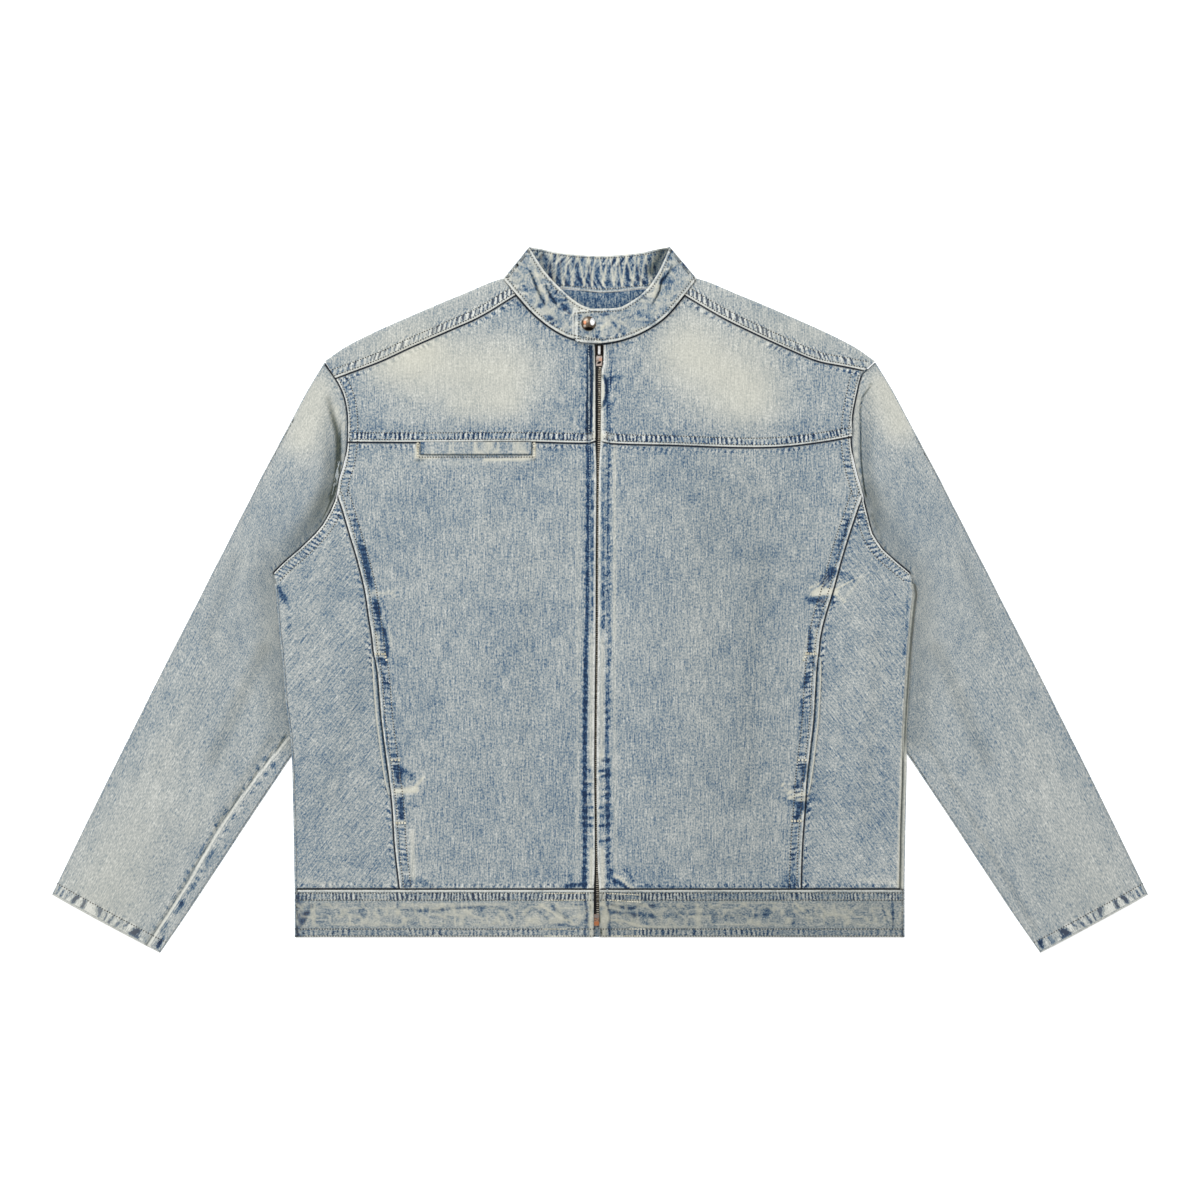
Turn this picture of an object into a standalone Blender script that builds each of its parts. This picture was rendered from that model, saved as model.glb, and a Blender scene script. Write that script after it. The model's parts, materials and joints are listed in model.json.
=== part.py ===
"""Denim zip jacket lying flat on its back, front up.

Metres, +Z up. The origin is under the middle of the garment, on the surface it lies on. +Y runs
from hem to collar and +X to the wearer's left. Tables and sizes below are in millimetres.
"""

import math
from bisect import bisect_right
from collections import namedtuple

import bmesh
import bpy
from mathutils import Vector

MM = 0.001
SIDES = {"right": -1.0, "left": 1.0}

# Cloth and the spaces between layers.
WALL = 1.2
GAP = 0.3
PLY = WALL + GAP
DOUBLE_WALL = 2.4
LAP = 10.0

# How far a panel of the body and the sleeve stand off the armhole's seam line.
SEAM_CLEAR = 0.5

# Heights of the layers over the surface.
SLEEVE_FLAT = 3.0
BODY_LIFT = SLEEVE_FLAT + GAP
FRONT_BASE = 3.3
FRONT_LIFT = 2.0
COLLAR_TOP = 8.7
BAND_TOP = 7.2

# Where the folded sleeve lies under the body's side and lifts it.
LIFT_INNER, LIFT_OUTER = 210.0, 260.0
LIFT_TOP, LIFT_TOP_RUN = 150.0, 40.0
LIFT_END, LIFT_END_RUN = -235.0, 65.0

BAND_SEAM_Y = -290.0
HEM_Y = -337.5
BAND_MIDDLE_Y = -310.0
ZIP_TOP_Y = 262.0
SIDE_FRONT_TOP_Y = 107.5

# A row of an outline that differs a little from side to side: where it is, then its value on the
# wearer's right and left.
Row = namedtuple("Row", "at right left")

# At y, the distance of the armhole seam from the centre line.
ARMHOLE = (
    Row(238.0, 276.0, 268.0), Row(223.0, 265.0, 260.5), Row(205.0, 256.0, 256.0),
    Row(184.0, 252.0, 252.0), Row(159.0, 252.0, 250.6), Row(137.0, 255.0, 253.5),
    Row(120.0, 260.0, 257.7), Row(106.0, 262.0, 262.0), Row(89.0, 269.0, 266.0),
    Row(75.0, 277.0, 269.5), Row(66.0, 284.5, 272.3), Row(51.0, 300.0, 282.0),
    Row(39.0, 314.0, 295.0), Row(27.0, 326.4, 309.6),
)

# At y, the distance of the body's folded side from the centre line.
SIDE_FOLD = (
    Row(27.0, 326.4, 309.6), Row(17.0, 325.5, 315.4), Row(6.0, 324.3, 317.5),
    Row(-10.0, 323.0, 315.5), Row(-38.0, 320.5, 312.5), Row(-70.0, 317.0, 310.3),
    Row(-100.0, 315.0, 308.5), Row(-135.0, 310.0, 306.5), Row(-165.0, 308.0, 307.0),
    Row(-285.0, 306.0, 305.0), Row(-337.5, 305.5, 305.0),
)

# Where both layers of the body have a point on their side, from the band to the armhole.
SIDE_STATIONS = (-289.7, -262.0, -235.0, -210.0, -187.0, -165.0, -135.0, -100.0, -70.0, -38.0, -10.0,
                 6.0, 17.0, 27.0)

# The part of the armhole where the back has points of its own.
BACK_ARM_SPAN = (30.0, 222.0)

# How far up the back wraps round its sides, and how far past the fold to the side seam.
WRAP_TOP = 17.0
WRAP_REACH = 290.0
SIDE_RETURN = {"right": 0.4, "left": 2.4}

# At y, the distance of the curved front seam from the centre line.
FRONT_SEAM = (
    Row(106.0, 262.0, 262.0), Row(90.0, 257.0, 257.0), Row(66.0, 250.0, 249.0),
    Row(40.0, 242.3, 241.0), Row(10.0, 235.0, 233.0), Row(-17.0, 231.0, 224.7),
    Row(-36.0, 228.0, 220.3), Row(-51.0, 226.4, 218.6), Row(-73.0, 222.4, 216.3),
    Row(-120.0, 218.4, 213.5), Row(-177.0, 211.0, 207.0), Row(-206.0, 207.5, 204.9),
    Row(-246.0, 205.0, 202.0), Row(-290.0, 200.0, 200.5),
)

SEAM_STATIONS = (-246.0, -206.0, -177.0, -120.0, -73.0, -51.0, -36.0, -17.0, 10.0, 40.0, 66.0, 90.0)

# At a distance from the centre line, the y of each of these seams.
YOKE_SEAM = (
    Row(4.0, 159.5, 159.0), Row(12.0, 157.5, 157.0), Row(72.0, 158.6, 155.3),
    Row(143.0, 158.3, 153.0), Row(184.0, 158.2, 154.0), Row(225.0, 158.3, 159.0),
    Row(252.0, 158.5, 164.0),
)
SHOULDER_SEAM = (
    Row(84.5, 305.5, 305.5), Row(120.0, 284.0, 284.5), Row(150.0, 270.5, 269.5),
    Row(190.0, 253.0, 251.0), Row(218.0, 240.0, 239.5), Row(240.0, 231.5, 235.0),
    Row(262.5, 223.5, 231.0),
)
SHOULDER_FOLD = (
    Row(97.5, 322.0, 322.0), Row(110.0, 318.0, 318.0), Row(138.0, 306.0, 306.0),
    Row(153.0, 300.0, 300.0), Row(188.0, 285.0, 285.0), Row(222.0, 270.0, 270.0),
    Row(252.0, 255.0, 255.0), Row(270.0, 243.5, 243.0),
)
SHOULDER_RETURN = 12.0
SHOULDER_SHARES = (0.0, 0.2, 0.4, 0.55, 0.67, 0.77, 0.86, 0.93, 1.0)
# The yoke's height falls from over the zip tape, and rises again over the lower front at its seam.
YOKE_TAPE_END, YOKE_TAPE_RUN = 62.0, 38.0
YOKE_RISE_TOP, YOKE_RISE_RUN = 222.0, 50.0
# The yoke's edge at the armhole ends here, and runs on under the shoulder strip and the collar.
YOKE_ARM_TOP = 229.0
YOKE_TUCK = 7.0
YOKE_NECK = ((80.0, 308.0), (63.0, 290.0), (44.0, 276.0), (26.0, 266.0))

# Where the sleeve's open end leaves the armhole and goes on under the body, down to its inner fold.
TUCK = (
    Row(88.0, 266.5, 263.5), Row(70.0, 270.0, 266.5), Row(50.0, 274.0, 269.5), Row(30.0, 277.0, 271.0),
    Row(12.0, 277.5, 270.0),
)
TUCK_TOP = 100.0
# A station nearer than this to the end of its edge is left out.
STATION_CLEAR = 3.0

# Sections across the folded sleeve from armhole to cuff: the outer fold's distance from the centre
# line and y, then the inner fold's y and its distance on the wearer's right and left.
Section = namedtuple("Section", "outer outer_y inner_y right left")
SLEEVE = (
    Section(276.0, 238.0, 12.0, 277.0, 270.0), Section(293.0, 210.0, -2.0, 281.5, 274.0),
    Section(309.0, 180.0, -16.0, 285.0, 278.5), Section(325.0, 150.0, -32.0, 288.0, 283.0),
    Section(341.0, 120.0, -48.0, 290.0, 286.5), Section(352.0, 98.0, -64.0, 291.2, 289.0),
    Section(364.0, 75.0, -80.0, 291.5, 291.0), Section(376.0, 51.0, -95.0, 292.0, 292.0),
    Section(389.0, 26.0, -112.0, 292.5, 292.5), Section(402.0, 0.0, -131.0, 293.0, 293.0),
    Section(417.5, -30.0, -155.0, 308.0, 308.0), Section(440.5, -75.0, -189.5, 331.0, 331.0),
    Section(464.5, -123.0, -227.0, 356.0, 356.0), Section(493.0, -180.0, -269.5, 384.0, 384.0),
    Section(520.5, -236.0, -311.0, 411.5, 411.5), Section(549.0, -295.0, -353.5, 440.6, 441.0),
)
SLEEVE_SHOULDER = 6
SLEEVE_LAP = 6.0
# The lap starts a little below the shoulder, and ends above where the body is lifted.
LAP_TOP, LAP_TOP_RUN, LAP_END_RUN = 218.0, 14.0, 30.0
LOW_CLEAR = 1.5
# Where the sleeve is free of the body its upper wall stands a little higher in the middle.
SLEEVE_BULGE, BULGE_START, BULGE_RUN, BULGE_FULLNESS = 2.4, 332.0, 70.0, 0.7
SLEEVE_SHARES = (0.04, 0.12, 0.25, 0.4, 0.53, 0.62, 0.69, 0.76, 0.85, 0.94)

# Along the zip: y, the chain's x, the x of the edges that the fronts turn over it, and the half
# gap between the tapes.
ZipRow = namedtuple("ZipRow", "at chain right left tape_gap")
ZIP = (
    ZipRow(262.0, -0.8, -5.2, 3.4, 5.3), ZipRow(236.5, -0.9, -5.0, 3.2, 5.3),
    ZipRow(230.0, -1.6, -4.8, 1.6, 2.8), ZipRow(160.0, -2.0, -4.6, 0.6, 2.8),
    ZipRow(130.0, -2.4, -3.7, -1.0, 2.8), ZipRow(40.0, -3.0, -4.2, -1.8, 2.8),
    ZipRow(-40.0, -3.4, -4.6, -2.2, 2.8), ZipRow(-160.0, -4.6, -5.8, -3.4, 2.8),
    ZipRow(-260.0, -3.8, -5.1, -2.5, 2.8), ZipRow(-290.0, -3.6, -6.2, -0.9, 2.8),
    ZipRow(-337.5, -3.4, -6.3, -0.2, 3.4),
)
CHAIN_WIDTH, CHAIN_DEPTH = 4.8, 1.8
CHAIN_TOP_Y, CHAIN_END_Y = 237.5, -314.0
TAPE_REACH, TAPE_WALL, TAPE_END_CLEAR = 16.8, 1.0, 2.0
ZIP_STEPS = 24

# Collar: outlines of the band's seam edge and free edge, laid flat.
COLLAR_SEAM = {
    "front_right": ((2, 257), (-12, 258.5), (-29, 262), (-47, 271), (-67, 287), (-84, 306), (-97, 321.5)),
    "back": ((-97, 321.5), (-88, 311.8), (-60, 312), (-37, 312), (4, 308), (44, 312), (60, 312),
             (88, 311.8), (97, 321.5)),
    "front_left": ((97, 321.5), (84, 305), (66, 284), (46, 270), (23, 260.5), (-1, 256.5), (-25, 258)),
}
COLLAR_FREE = {
    "front_right": ((2, 290.5), (-8, 291.5), (-20.5, 296), (-37, 309), (-54, 327), (-63, 340), (-71, 353.5)),
    "back": ((-71, 353.5), (-58, 351.5), (-40, 348), (-20, 345.8), (0, 345), (20, 345.8), (40, 348),
             (58, 351.5), (70, 353.5)),
    "front_left": ((70, 353.5), (59, 329), (46, 310), (29, 297), (17.6, 292), (-4, 291), (-25, 289.5)),
}
COLLAR_ROWS = (0.0, 0.12, 0.5, 0.88, 1.0)
COLLAR_BACK_STEPS = 10
TAB_CORNERS = {0.12: 2.1, 0.5: 2.8, 0.88: 2.1}
TAB_LIFT = DOUBLE_WALL + GAP
TAB_RISE_FROM, TAB_RISE_TO = 34.0, 5.0

WELT = {"x": (-180.0, -68.0), "height": 13.0}
FACING = {"y": (-57.0, -195.0), "width": 5.0}

PULL = {"x": -0.8, "y": 250.0, "z": 5.8, "width": 5.8, "length": 16.0, "wall": 1.2, "bar": 0.6}
PULL_EYE = {"width": 3.4, "length": 5.3}
PULL_HOLE = {"y": -12.6, "long": 3.4, "short": 1.9, "slant": math.radians(25)}
SLIDER = {"top_y": 255.5, "low_y": 238.0, "wide": 9.4, "narrow": 7.4, "z": (2.1, 4.5),
          "taper_from": 6.0, "taper_to": 5.0, "corner": 1.2}
BRIDGE = {"y": (245.5, 254.5), "top": 8.6, "wall": 1.1, "width": 2.4, "root": 0.6, "corner": 0.9}
BOX = {"y": (-314.3, -326.3), "width": 5.2, "z": (2.7, 4.5)}
SNAP = {"x": -11.4, "y": 275.9, "radius": 7.2, "rise": 3.0, "rim": 0.7}

COLOURS = {
    "denim_body": (0.42, 0.50, 0.58), "denim_sleeve": (0.47, 0.51, 0.53),
    "denim_trim": (0.45, 0.52, 0.60), "denim_back": (0.36, 0.45, 0.55),
    "zip_tape": (0.10, 0.10, 0.11), "zip_metal": (0.30, 0.29, 0.27), "snap_metal": (0.62, 0.60, 0.58),
}


def ease(share):
    """0 below 0, 1 above 1 and a smooth rise between."""
    share = min(max(share, 0.0), 1.0)
    return share * share * (3.0 - 2.0 * share)


def read(rows, at, column):
    """A table's value at a place between its rows."""
    rows = sorted(rows, key=lambda row: row.at)
    place = [row.at for row in rows]
    upper = min(max(bisect_right(place, at), 1), len(rows) - 1)
    low, high = rows[upper - 1], rows[upper]
    share = (at - low.at) / (high.at - low.at)
    return getattr(low, column) * (1.0 - share) + getattr(high, column) * share


def path(points):
    """A line through points, called with the share of its length from 0 to 1."""
    points = [Vector(point) for point in points]
    runs = [0.0]
    for start, end in zip(points, points[1:]):
        runs.append(runs[-1] + (end - start).length)

    def at(share):
        run = min(max(share, 0.0), 1.0) * runs[-1]
        upper = min(max(bisect_right(runs, run), 1), len(runs) - 1)
        part = (run - runs[upper - 1]) / (runs[upper] - runs[upper - 1])
        return points[upper - 1].lerp(points[upper], part)

    return at


def stations(points):
    """A line through points, called with their place in the list as a share from 0 to 1."""
    points = [Vector(point) for point in points]

    def at(share):
        place = share * (len(points) - 1)
        lower = min(int(place), len(points) - 2)
        return points[lower].lerp(points[lower + 1], place - lower)

    return at


def patch(lower, upper, near, far):
    """A surface between four edge lines: lower and upper run across, near and far run up."""
    def at(across, up):
        between = lower(across).lerp(upper(across), up) + near(up).lerp(far(up), across)
        corners = lower(0).lerp(lower(1), across).lerp(upper(0).lerp(upper(1), across), up)
        return between - corners

    return at


def even(count):
    return [index / count for index in range(count + 1)]


def upright(rows, side, reach=0.0):
    """The points of a table whose rows go by y, moved out by reach."""
    return [(SIDES[side] * (getattr(row, side) + reach), row.at) for row in rows]


def between(points, low, high):
    """The points whose y lies between two limits."""
    return [point for point in points if low < point[1] < high]


def level(rows, side, shift=0.0):
    """The points of a table whose rows go by the distance from the centre line, moved up."""
    return [(SIDES[side] * row.at, getattr(row, side) + shift) for row in rows]


def zip_edge(side, top, low, shift=0.0):
    """The edge that a front turns over the zip, from one y down to another."""
    stops = [top] + [row.at for row in ZIP if low < row.at < top] + [low]
    return [(read(ZIP, y, side) + shift, y) for y in stops]


def lifted(x, y):
    """How much the sleeve folded under the body lifts it here, from 0 to 1."""
    across = ease((abs(x) - LIFT_INNER) / (LIFT_OUTER - LIFT_INNER))
    return across * ease((LIFT_TOP - y) / LIFT_TOP_RUN) * ease((y - LIFT_END) / LIFT_END_RUN)


def back_height(x, y):
    """Outer face of the back, which looks at the surface."""
    return BODY_LIFT * lifted(x, y)


def front_height(x, y):
    """Under face of the lowest front layer."""
    return FRONT_BASE + FRONT_LIFT * lifted(x, y)


def yoke_height(x, y):
    """Under face of the yoke: over the zip tape, and over the lower front along its seam."""
    over_tape = ease((YOKE_TAPE_END - abs(x)) / YOKE_TAPE_RUN)
    over_seam = ease((YOKE_RISE_TOP - y) / YOKE_RISE_RUN)
    return front_height(x, y) + PLY * (over_tape + (2.0 - over_tape) * over_seam)


def material(name, metallic=0.0, roughness=0.9):
    made = bpy.data.materials.new(name)
    made.use_nodes = True
    shader = made.node_tree.nodes["Principled BSDF"]
    shader.inputs["Base Color"].default_value = (*COLOURS[name], 1.0)
    shader.inputs["Metallic"].default_value = metallic
    shader.inputs["Roughness"].default_value = roughness
    made.diffuse_color = (*COLOURS[name], 1.0)
    return made


def add(name, data, collection, finish):
    made = bpy.data.objects.new(name, data)
    data.materials.append(finish)
    collection.objects.link(made)
    return made


def sheet(name, columns, rows, place, wall, collection, finish, closed=False, carry_on=None):
    """A grid laid on place(column, row, depth) at depth 0 and again at the wall's depth, and closed.

    place gives millimetres. closed welds the last column to the first. carry_on adds to the open
    sheet before it gets its depth, and returns the function that places what it added.
    """
    bm = bmesh.new()
    column_of, row_of = bm.verts.layers.int.new("column"), bm.verts.layers.int.new("row")
    bmesh.ops.create_grid(bm, x_segments=len(columns) - 1, y_segments=len(rows) - 1, size=0.5)
    for vert in bm.verts:
        vert[column_of] = round((vert.co.x + 0.5) * (len(columns) - 1))
        vert[row_of] = round((vert.co.y + 0.5) * (len(rows) - 1))
        vert.co = Vector(place(columns[vert[column_of]], rows[vert[row_of]], 0.0)) * MM
    if closed:
        bmesh.ops.remove_doubles(bm, verts=bm.verts, dist=1e-6)
    place_added = carry_on(bm) if carry_on else None
    inner = bmesh.ops.extrude_face_region(bm, geom=bm.faces[:], use_keep_orig=True)["geom"]
    for vert in (part for part in inner if isinstance(part, bmesh.types.BMVert)):
        point = place_added(vert, wall) if place_added else None
        if point is None:
            point = Vector(place(columns[vert[column_of]], rows[vert[row_of]], wall)) * MM
        vert.co = point
    bmesh.ops.recalc_face_normals(bm, faces=bm.faces)
    mesh = bpy.data.meshes.new(name)
    bm.to_mesh(mesh)
    bm.free()
    mesh.shade_smooth()
    mesh.set_sharp_from_angle(angle=math.radians(50))
    return add(name, mesh, collection, finish)


def flat_panel(name, outline, height, columns, rows, wall, collection, finish):
    """A single panel with its under face on a height, and its outline from a patch."""
    def place(across, up, depth):
        x, y = outline(across, up)
        return x, y, height(x, y) + depth

    return sheet(name, columns, rows, place, wall, collection, finish)


def folded(stretches, radius, rise=None):
    """Columns and place of a band that is folded flat, each stretch turned over the last.

    A stretch is (line, steps, on_top), where line(share, row) gives x and y. The fold between two
    stretches is a half round of the given radius. rise(stretch, x) lifts what lies on top.
    """
    columns = []
    for index, (_, steps, on_top) in enumerate(stretches):
        columns += [(index, share, 90 if on_top else -90) for share in even(steps)]
        if index + 1 < len(stretches):
            for turn in (60, 30, 0, -30, -60):
                lean = turn if on_top else -turn
                ahead = turn < 0
                columns.append((index + ahead, 0.0 if ahead else 1.0, lean))

    def place(column, row, depth):
        index, share, lean = column
        line = stretches[index][0]
        point = line(share, row)
        bend = radius - depth
        if (share == 1.0 and index + 1 < len(stretches)) or (share == 0.0 and index > 0):
            inward = (line(0.96 if share == 1.0 else 0.04, row) - point).normalized()
            point = point + inward * (radius - bend * math.cos(math.radians(lean)))
        lift = rise(index, point.x) if rise and lean > 0 else 0.0
        return point.x, point.y, radius + bend * math.sin(math.radians(lean)) + lift

    return columns, place


def shoulder_lines(side):
    """The forward seam and the fold of a shoulder, from the neck to the armhole."""
    return path(level(SHOULDER_SEAM, side)), path(level(SHOULDER_FOLD, side))


def shoulder_back_edge(side, extra):
    """Where the shoulder strip ends on the back, moved on by extra."""
    seam, fold = shoulder_lines(side)

    def at(share):
        inward = (seam(share) - fold(share)).normalized()
        return fold(share) + inward * (SHOULDER_RETURN + extra)

    return at


def build_back(collection, finish):
    """The back on the surface, coming round both sides to the side seams."""
    def radius(x, y):
        return (front_height(x, y) + WALL - back_height(x, y)) / 2.0

    def fold_line(side, y):
        edge = SIDES[side] * read(SIDE_FOLD, y, side)
        return edge - SIDES[side] * radius(edge, y), radius(edge, y)

    def side_line(side):
        """From the band up the fold, and up the armhole to the shoulder strip."""
        below = [(fold_line(side, y)[0], y) for y in SIDE_STATIONS]
        armhole = between(upright(ARMHOLE, side)[::-1], *BACK_ARM_SPAN)
        return stations(below + armhole + [shoulder_back_edge(side, GAP)(1.0)])

    right_shoulder, left_shoulder = shoulder_back_edge("right", GAP), shoulder_back_edge("left", GAP)
    collar = path(COLLAR_SEAM["back"])
    neck = [collar(share) - Vector((0.0, GAP)) for share in even(COLLAR_BACK_STEPS)[1:-1]]
    top = [right_shoulder(share) for share in SHOULDER_SHARES[::-1]] + neck
    top += [left_shoulder(share) for share in SHOULDER_SHARES]
    right, left = side_line("right"), side_line("left")
    width = top[-1].x - top[0].x
    bottom = stations([right(0).lerp(left(0), (point.x - top[0].x) / width) for point in top])
    outline = patch(bottom, stations(top), right, left)

    def place(across, up, depth):
        x, y = outline(across, up)
        return x, y, back_height(x, y) + depth

    def wrapped(y, side, turn, depth):
        """A point of the side's wrap: its share of the half turn, or past it on the flat."""
        line, bend = fold_line(side, y)
        angle = math.radians(min(turn, 180))
        over = SIDE_RETURN[side] if turn > 180 else 0.0
        x = line + SIDES[side] * ((bend - depth) * math.sin(angle) - over)
        z = back_height(line + SIDES[side] * bend, y) + bend - (bend - depth) * math.cos(angle)
        return Vector((x, y, z)) * MM

    def wrap(bm):
        """Carries the side edges below the armholes round their folds."""
        turn_of = bm.verts.layers.int.new("turn")
        for side, sign in SIDES.items():
            edges = [edge for edge in bm.edges if edge.is_boundary and all(
                vert.co.y < (WRAP_TOP + 0.5) * MM and vert.co.x * sign > WRAP_REACH * MM
                for vert in edge.verts) and abs(edge.verts[0].co.y - edge.verts[1].co.y) > MM]
            for turn in (30, 60, 90, 120, 150, 180, 181):
                made = bmesh.ops.extrude_edge_only(bm, edges=edges)["geom"]
                edges = [part for part in made if isinstance(part, bmesh.types.BMEdge)]
                for vert in (part for part in made if isinstance(part, bmesh.types.BMVert)):
                    vert[turn_of] = turn
                    vert.co = wrapped(vert.co.y / MM, side, turn, 0.0)

        def place_wrap(vert, depth):
            side = "left" if vert.co.x > 0 else "right"
            return wrapped(vert.co.y / MM, side, vert[turn_of], depth) if vert[turn_of] else None

        return place_wrap

    rows = len(SIDE_STATIONS) + len(between(upright(ARMHOLE, "right"), *BACK_ARM_SPAN))
    sheet("back_panel", even(len(top) - 1), even(rows), place, WALL, collection, finish, carry_on=wrap)


def build_shoulder(side, collection, finish):
    """Strip over the shoulder fold, from the forward seam to just past the fold."""
    seam, fold = shoulder_lines(side)
    back_edge = shoulder_back_edge(side, 0.0)
    radius = (FRONT_BASE + PLY + WALL) / 2.0
    stretches = [
        (lambda share, row: seam(row).lerp(fold(row), share), 3, True),
        (lambda share, row: fold(row).lerp(back_edge(row), share), 2, False),
    ]
    columns, place = folded(stretches, radius)
    sheet(f"shoulder_strip_{side}", columns, SHOULDER_SHARES, place, WALL, collection, finish)


def build_yoke(side, collection, finish):
    """Front yoke, under the shoulder strip and collar at its top and over the lower front below."""
    sign = SIDES[side]
    seam = level(YOKE_SEAM[1:], side)
    zip_side = zip_edge(side, ZIP_TOP_Y, read(YOKE_SEAM, YOKE_SEAM[0].at, side))
    armhole = [seam[-1]] + between(upright(ARMHOLE, side)[::-1], seam[-1][1] + STATION_CLEAR, YOKE_ARM_TOP)
    armhole.append((sign * read(ARMHOLE, YOKE_ARM_TOP, side), YOKE_ARM_TOP))
    shoulder = level(SHOULDER_SEAM, side, YOKE_TUCK)[-2::-1]
    top = [armhole[-1]] + shoulder + [(sign * x, y) for x, y in YOKE_NECK] + zip_side[:1]
    bottom = seam[::-1] + zip_side[-1:]
    outline = patch(path(bottom), path(top), path(armhole), path(zip_side[::-1]))
    columns = [0.0, 0.08, 0.17, 0.27, 0.38, 0.5, 0.62, 0.73, 0.83, 0.92, 1.0]
    rows = [0.0, 0.06, 0.14, 0.24, 0.36, 0.5, 0.66, 0.82, 1.0]
    flat_panel(f"front_yoke_{side}", outline, yoke_height, columns, rows, WALL, collection, finish)


def build_centre(side, collection, finish):
    """Centre front, its top under the yoke and its folded side edge over the side front."""
    seam = level(YOKE_SEAM[1:], side, LAP)
    zip_side = zip_edge(side, seam[0][1], BAND_SEAM_Y + GAP)
    top_y = seam[-1][1]
    outer = [(SIDES[side] * read(ARMHOLE, top_y, side), top_y)]
    outer += between(upright(ARMHOLE, side), SIDE_FRONT_TOP_Y, top_y - STATION_CLEAR)
    outer += upright(FRONT_SEAM[:-1], side)
    outer.append((SIDES[side] * read(FRONT_SEAM, BAND_SEAM_Y + GAP, side), BAND_SEAM_Y + GAP))
    top = [outer[0]] + list(reversed(seam[:-1])) + zip_side[:1]
    outline = patch(path([outer[-1], zip_side[-1]]), path(top), path(outer[::-1]), path(zip_side[::-1]))

    def height(x, y):
        return front_height(x, y) + PLY

    columns = [0.0, 0.06, 0.13, 0.22, 0.33, 0.45, 0.57, 0.7, 0.83, 1.0]
    rows = [0.8 * share for share in even(13)] + [0.83, 0.855, 0.88, 0.905, 0.935, 1.0]
    flat_panel(f"front_centre_{side}", outline, height, columns, rows, WALL, collection, finish)


def build_side(side, collection, finish):
    """Side front, its inner edge lapped under the centre front."""
    sign = SIDES[side]
    outer = []
    for y in SIDE_STATIONS:
        edge = read(SIDE_FOLD, y, side)
        bend = (front_height(edge, y) + WALL - back_height(edge, y)) / 2.0
        inset = bend + SIDE_RETURN[side] + GAP if y <= WRAP_TOP else SEAM_CLEAR
        outer.append((sign * (edge - inset), y))
    outer += between(upright(ARMHOLE, side)[::-1], SIDE_STATIONS[-1],
                     SIDE_FRONT_TOP_Y - STATION_CLEAR)
    outer.append((sign * (read(ARMHOLE, SIDE_FRONT_TOP_Y, side) - SEAM_CLEAR), SIDE_FRONT_TOP_Y))
    seam_ys = (SIDE_STATIONS[0], *SEAM_STATIONS, SIDE_FRONT_TOP_Y)
    seam = path([(sign * (read(FRONT_SEAM, y, side) - LAP), y) for y in seam_ys])
    inner = [seam(share) for share in even(len(outer) - 1)]
    outline = patch(path([outer[0], inner[0]]), path([outer[-1], inner[-1]]),
                    stations(outer), stations(inner))
    columns = [0.0, 0.12, 0.26, 0.42, 0.58, 0.74, 0.88, 1.0]
    flat_panel(f"side_front_{side}", outline, front_height, columns, even(len(outer) - 1), WALL,
               collection, finish)


def build_facing(side, collection, finish):
    """Facing strip that shows beside the pocket opening in the front seam."""
    top, low = FACING["y"]
    stops = [top + (low - top) * share for share in even(6)]

    def line(reach):
        return path([(SIDES[side] * (read(FRONT_SEAM, y, side) + reach), y) for y in reversed(stops)])

    inner, outer = line(2.0 * GAP), line(2.0 * GAP + FACING["width"])
    outline = patch(path([outer(0), inner(0)]), path([outer(1), inner(1)]), outer, inner)

    def height(x, y):
        return front_height(x, y) + PLY

    flat_panel(f"pocket_facing_{side}", outline, height, even(1), even(6), WALL, collection, finish)


def build_welt(collection, finish):
    """Chest welt under the right yoke seam, on the centre front."""
    start, end = WELT["x"]
    top = [(start + (end - start) * share, 0.0) for share in even(6)]
    top = [(x, read(YOKE_SEAM, -x, "right") - GAP) for x, _ in top]
    low = [(x, y - WELT["height"]) for x, y in top]
    outline = patch(path(low), path(top), path([low[0], top[0]]), path([low[-1], top[-1]]))

    def height(x, y):
        return front_height(x, y) + 2.0 * PLY

    flat_panel("chest_welt", outline, height, even(6), even(1), WALL, collection, finish)


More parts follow.
